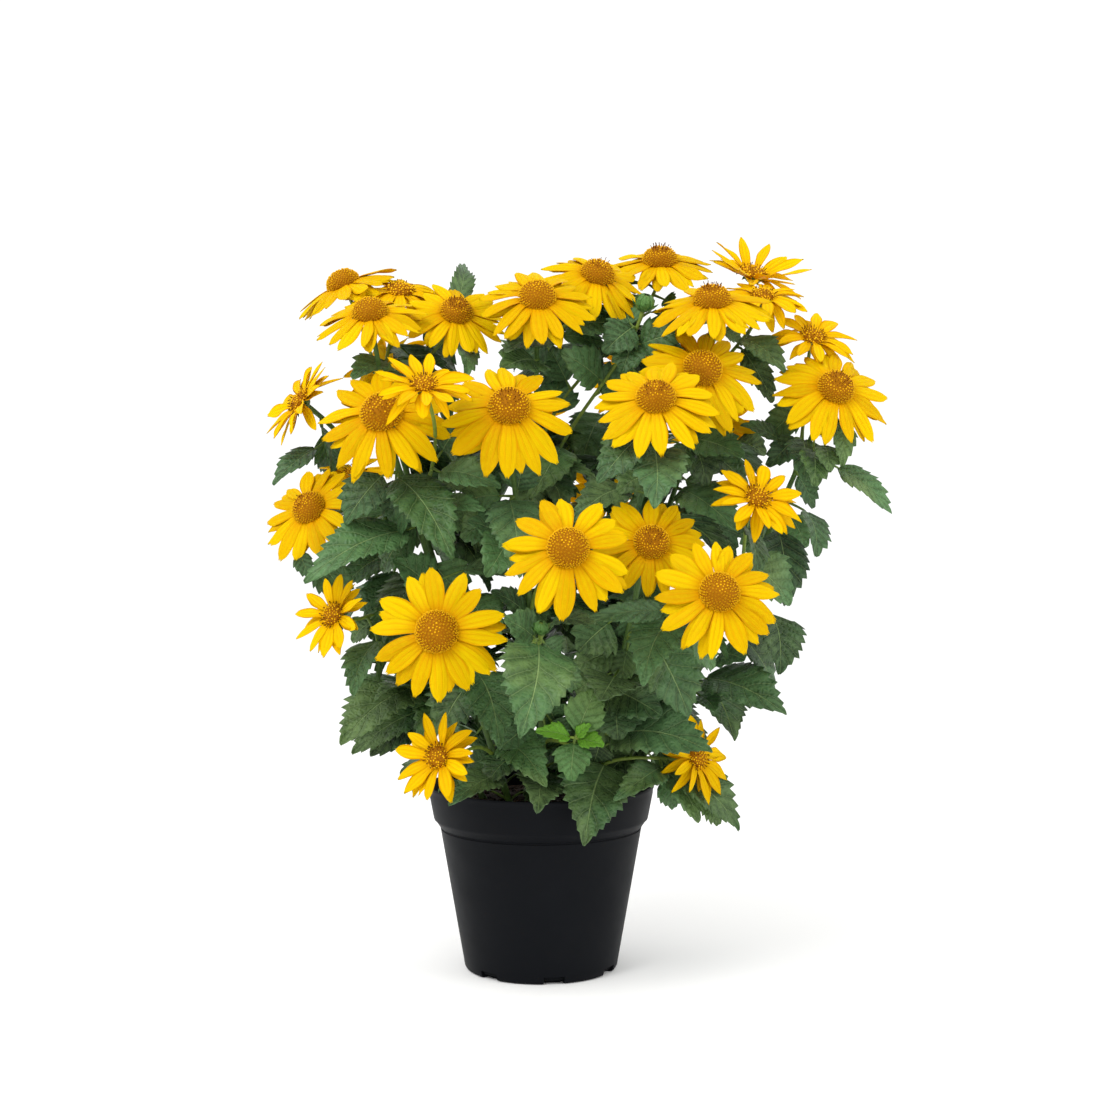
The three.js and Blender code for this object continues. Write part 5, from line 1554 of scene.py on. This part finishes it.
class SUNFLOWER_OT_stems(bpy.types.Operator):
    """Builds the leafy stems with their stalks, leaves, bracts and buds"""
    bl_idname = "sunflower.stems"
    bl_label = "Leafy stems"

    def execute(self, context):
        skins = [leaf_skin("leaf_upper_side", False), leaf_skin("leaf_underside", True), stem_skin()]
        for index, stem in enumerate(grown_plant()):
            bm = fresh_mesh()
            numbers = random.Random(LEAF_SEED + index)
            add_stem(bm, stem)
            for leaf in stem.leaves:
                add_leaf(bm, leaf, numbers)
            for head in stem.heads:
                (add_bud if head.bud else add_bracts)(bm, head, numbers)
            piece(f"leafy_{stem.name}", bm, skins, [stem.name])
        return {"FINISHED"}


class SUNFLOWER_OT_rays(bpy.types.Operator):
    """Builds the petals of each bloom"""
    bl_idname = "sunflower.rays"
    bl_label = "Petals"

    def execute(self, context):
        skin = petal_skin()
        for index, head in all_blooms():
            bm = fresh_mesh()
            add_rays(bm, head, index)
            replaced = f"{head.name}_rays" if head.ripe else head.name
            piece(f"petals_{index + 1:02d}", bm, [skin], [replaced])
        return {"FINISHED"}


class SUNFLOWER_OT_discs(bpy.types.Operator):
    """Builds the disc of florets of each bloom"""
    bl_idname = "sunflower.discs"
    bl_label = "Discs"

    def execute(self, context):
        skin = floret_skin()
        for index, head in all_blooms():
            bm = fresh_mesh()
            add_disc(bm, head, index)
            replaced = [f"{head.name}_disc"] if head.ripe else []
            piece(f"florets_{index + 1:02d}", bm, [skin], replaced)
        return {"FINISHED"}


class SUNFLOWER_OT_pot(bpy.types.Operator):
    """Builds the nursery pot"""
    bl_idname = "sunflower.pot"
    bl_label = "Pot"

    def execute(self, context):
        build_pot()
        return {"FINISHED"}


class SUNFLOWER_OT_soil(bpy.types.Operator):
    """Builds the soil in the pot"""
    bl_idname = "sunflower.soil"
    bl_label = "Soil"

    def execute(self, context):
        build_soil()
        return {"FINISHED"}


class SUNFLOWER_OT_stage(bpy.types.Operator):
    """Sets the floor, the white surround, the lamps and the reference view's camera"""
    bl_idname = "sunflower.stage"
    bl_label = "Stage"

    def execute(self, context):
        scene, looks = context.scene, context.scene.stage_looks
        bm = bmesh.new()
        under = Matrix.Translation((0, 0, -FLOOR_DROP))
        bmesh.ops.create_circle(bm, cap_ends=True, segments=64, radius=FLOOR_RADIUS, matrix=under)
        mesh = bpy.data.meshes.new("floor")
        bm.to_mesh(mesh)
        bm.free()
        floor = bpy.data.objects.new("floor", mesh)
        context.collection.objects.link(floor)
        paper, tree = fresh_material("white_studio_paper")
        matt = {"Base Color": linear("#FBFBFA"), "Roughness": 0.9, "Specular IOR Level": 0.1}
        add(tree, "OutputMaterial", {"Surface": add(tree, "BsdfPrincipled", matt)})
        mesh.materials.append(paper)
        floor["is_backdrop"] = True

        world = bpy.data.worlds.new("white_surround")
        scene.world = world
        world.use_nodes = True
        world.node_tree.nodes.clear()
        sky = add(world.node_tree, "Background", {"Color": (1, 1, 1, 1), "Strength": looks.sky})
        add(world.node_tree, "OutputWorld", {"Surface": sky})

        lamps = (("key", (-0.9, -1.1, 1.7), 0.9, looks.key), ("fill", (1.5, -0.7, 0.9), 1.0, looks.fill))
        for name, place, size, power in lamps:
            light = bpy.data.lights.new(name, "AREA")
            light.size, light.energy = size, power
            lamp = bpy.data.objects.new(name, light)
            context.collection.objects.link(lamp)
            lamp.location = place
            lamp.rotation_euler = (Vector(LAMP_AIM) - Vector(place)).to_track_quat("-Z", "Y").to_euler()

        camera = bpy.data.cameras.new("reference_view")
        camera.sensor_width = SENSOR
        camera.lens = VIEW_FOCAL / (2 * VIEW_CENTRE) * SENSOR
        camera.clip_start, camera.clip_end = 0.05, 40
        viewer = bpy.data.objects.new("reference_view", camera)
        context.collection.objects.link(viewer)
        viewer.location = EYE * MM
        viewer.rotation_euler = (math.radians(90 - VIEW_PITCH), 0, 0)
        scene.camera = viewer
        scene.view_settings.view_transform = "Standard"
        return {"FINISHED"}


class SUNFLOWER_PT_pieces(bpy.types.Panel):
    """Lists the pieces and their looks in the sidebar"""
    bl_label = "Potted false sunflower"
    bl_space_type = "VIEW_3D"
    bl_region_type = "UI"
    bl_category = "Sunflower"

    def draw(self, context):
        for step in STEPS:
            self.layout.operator(step.bl_idname)
        for group in LOOKS:
            looks = getattr(context.scene, group)
            box = self.layout.box()
            for key in looks.bl_rna.properties.keys():
                if key not in ("name", "rna_type"):
                    box.prop(looks, key)


STEPS = (
    SUNFLOWER_OT_pot, SUNFLOWER_OT_soil, SUNFLOWER_OT_stems, SUNFLOWER_OT_rays, SUNFLOWER_OT_discs,
    SUNFLOWER_OT_stage,
)
LOOKS = {
    "leaf_looks": LeafLooks,
    "flower_looks": FlowerLooks,
    "pot_looks": PotLooks,
    "stage_looks": StageLooks,
}


def register():
    for group, kind in LOOKS.items():
        bpy.utils.register_class(kind)
        setattr(bpy.types.Scene, group, bpy.props.PointerProperty(type=kind))
    for kind in (*STEPS, SUNFLOWER_PT_pieces):
        bpy.utils.register_class(kind)


def unregister():
    for kind in (SUNFLOWER_PT_pieces, *STEPS[::-1]):
        bpy.utils.unregister_class(kind)
    for group, kind in LOOKS.items():
        delattr(bpy.types.Scene, group)
        bpy.utils.unregister_class(kind)


def main():
    register()
    for step in STEPS:
        area, name = step.bl_idname.split(".")
        getattr(getattr(bpy.ops, area), name)()
    boxes = {"cad": CAD_BOX, "visual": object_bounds()}
    {name: [list(corner) for corner in box] for name, box in boxes.items()}


if __name__ == "__main__":
    main()
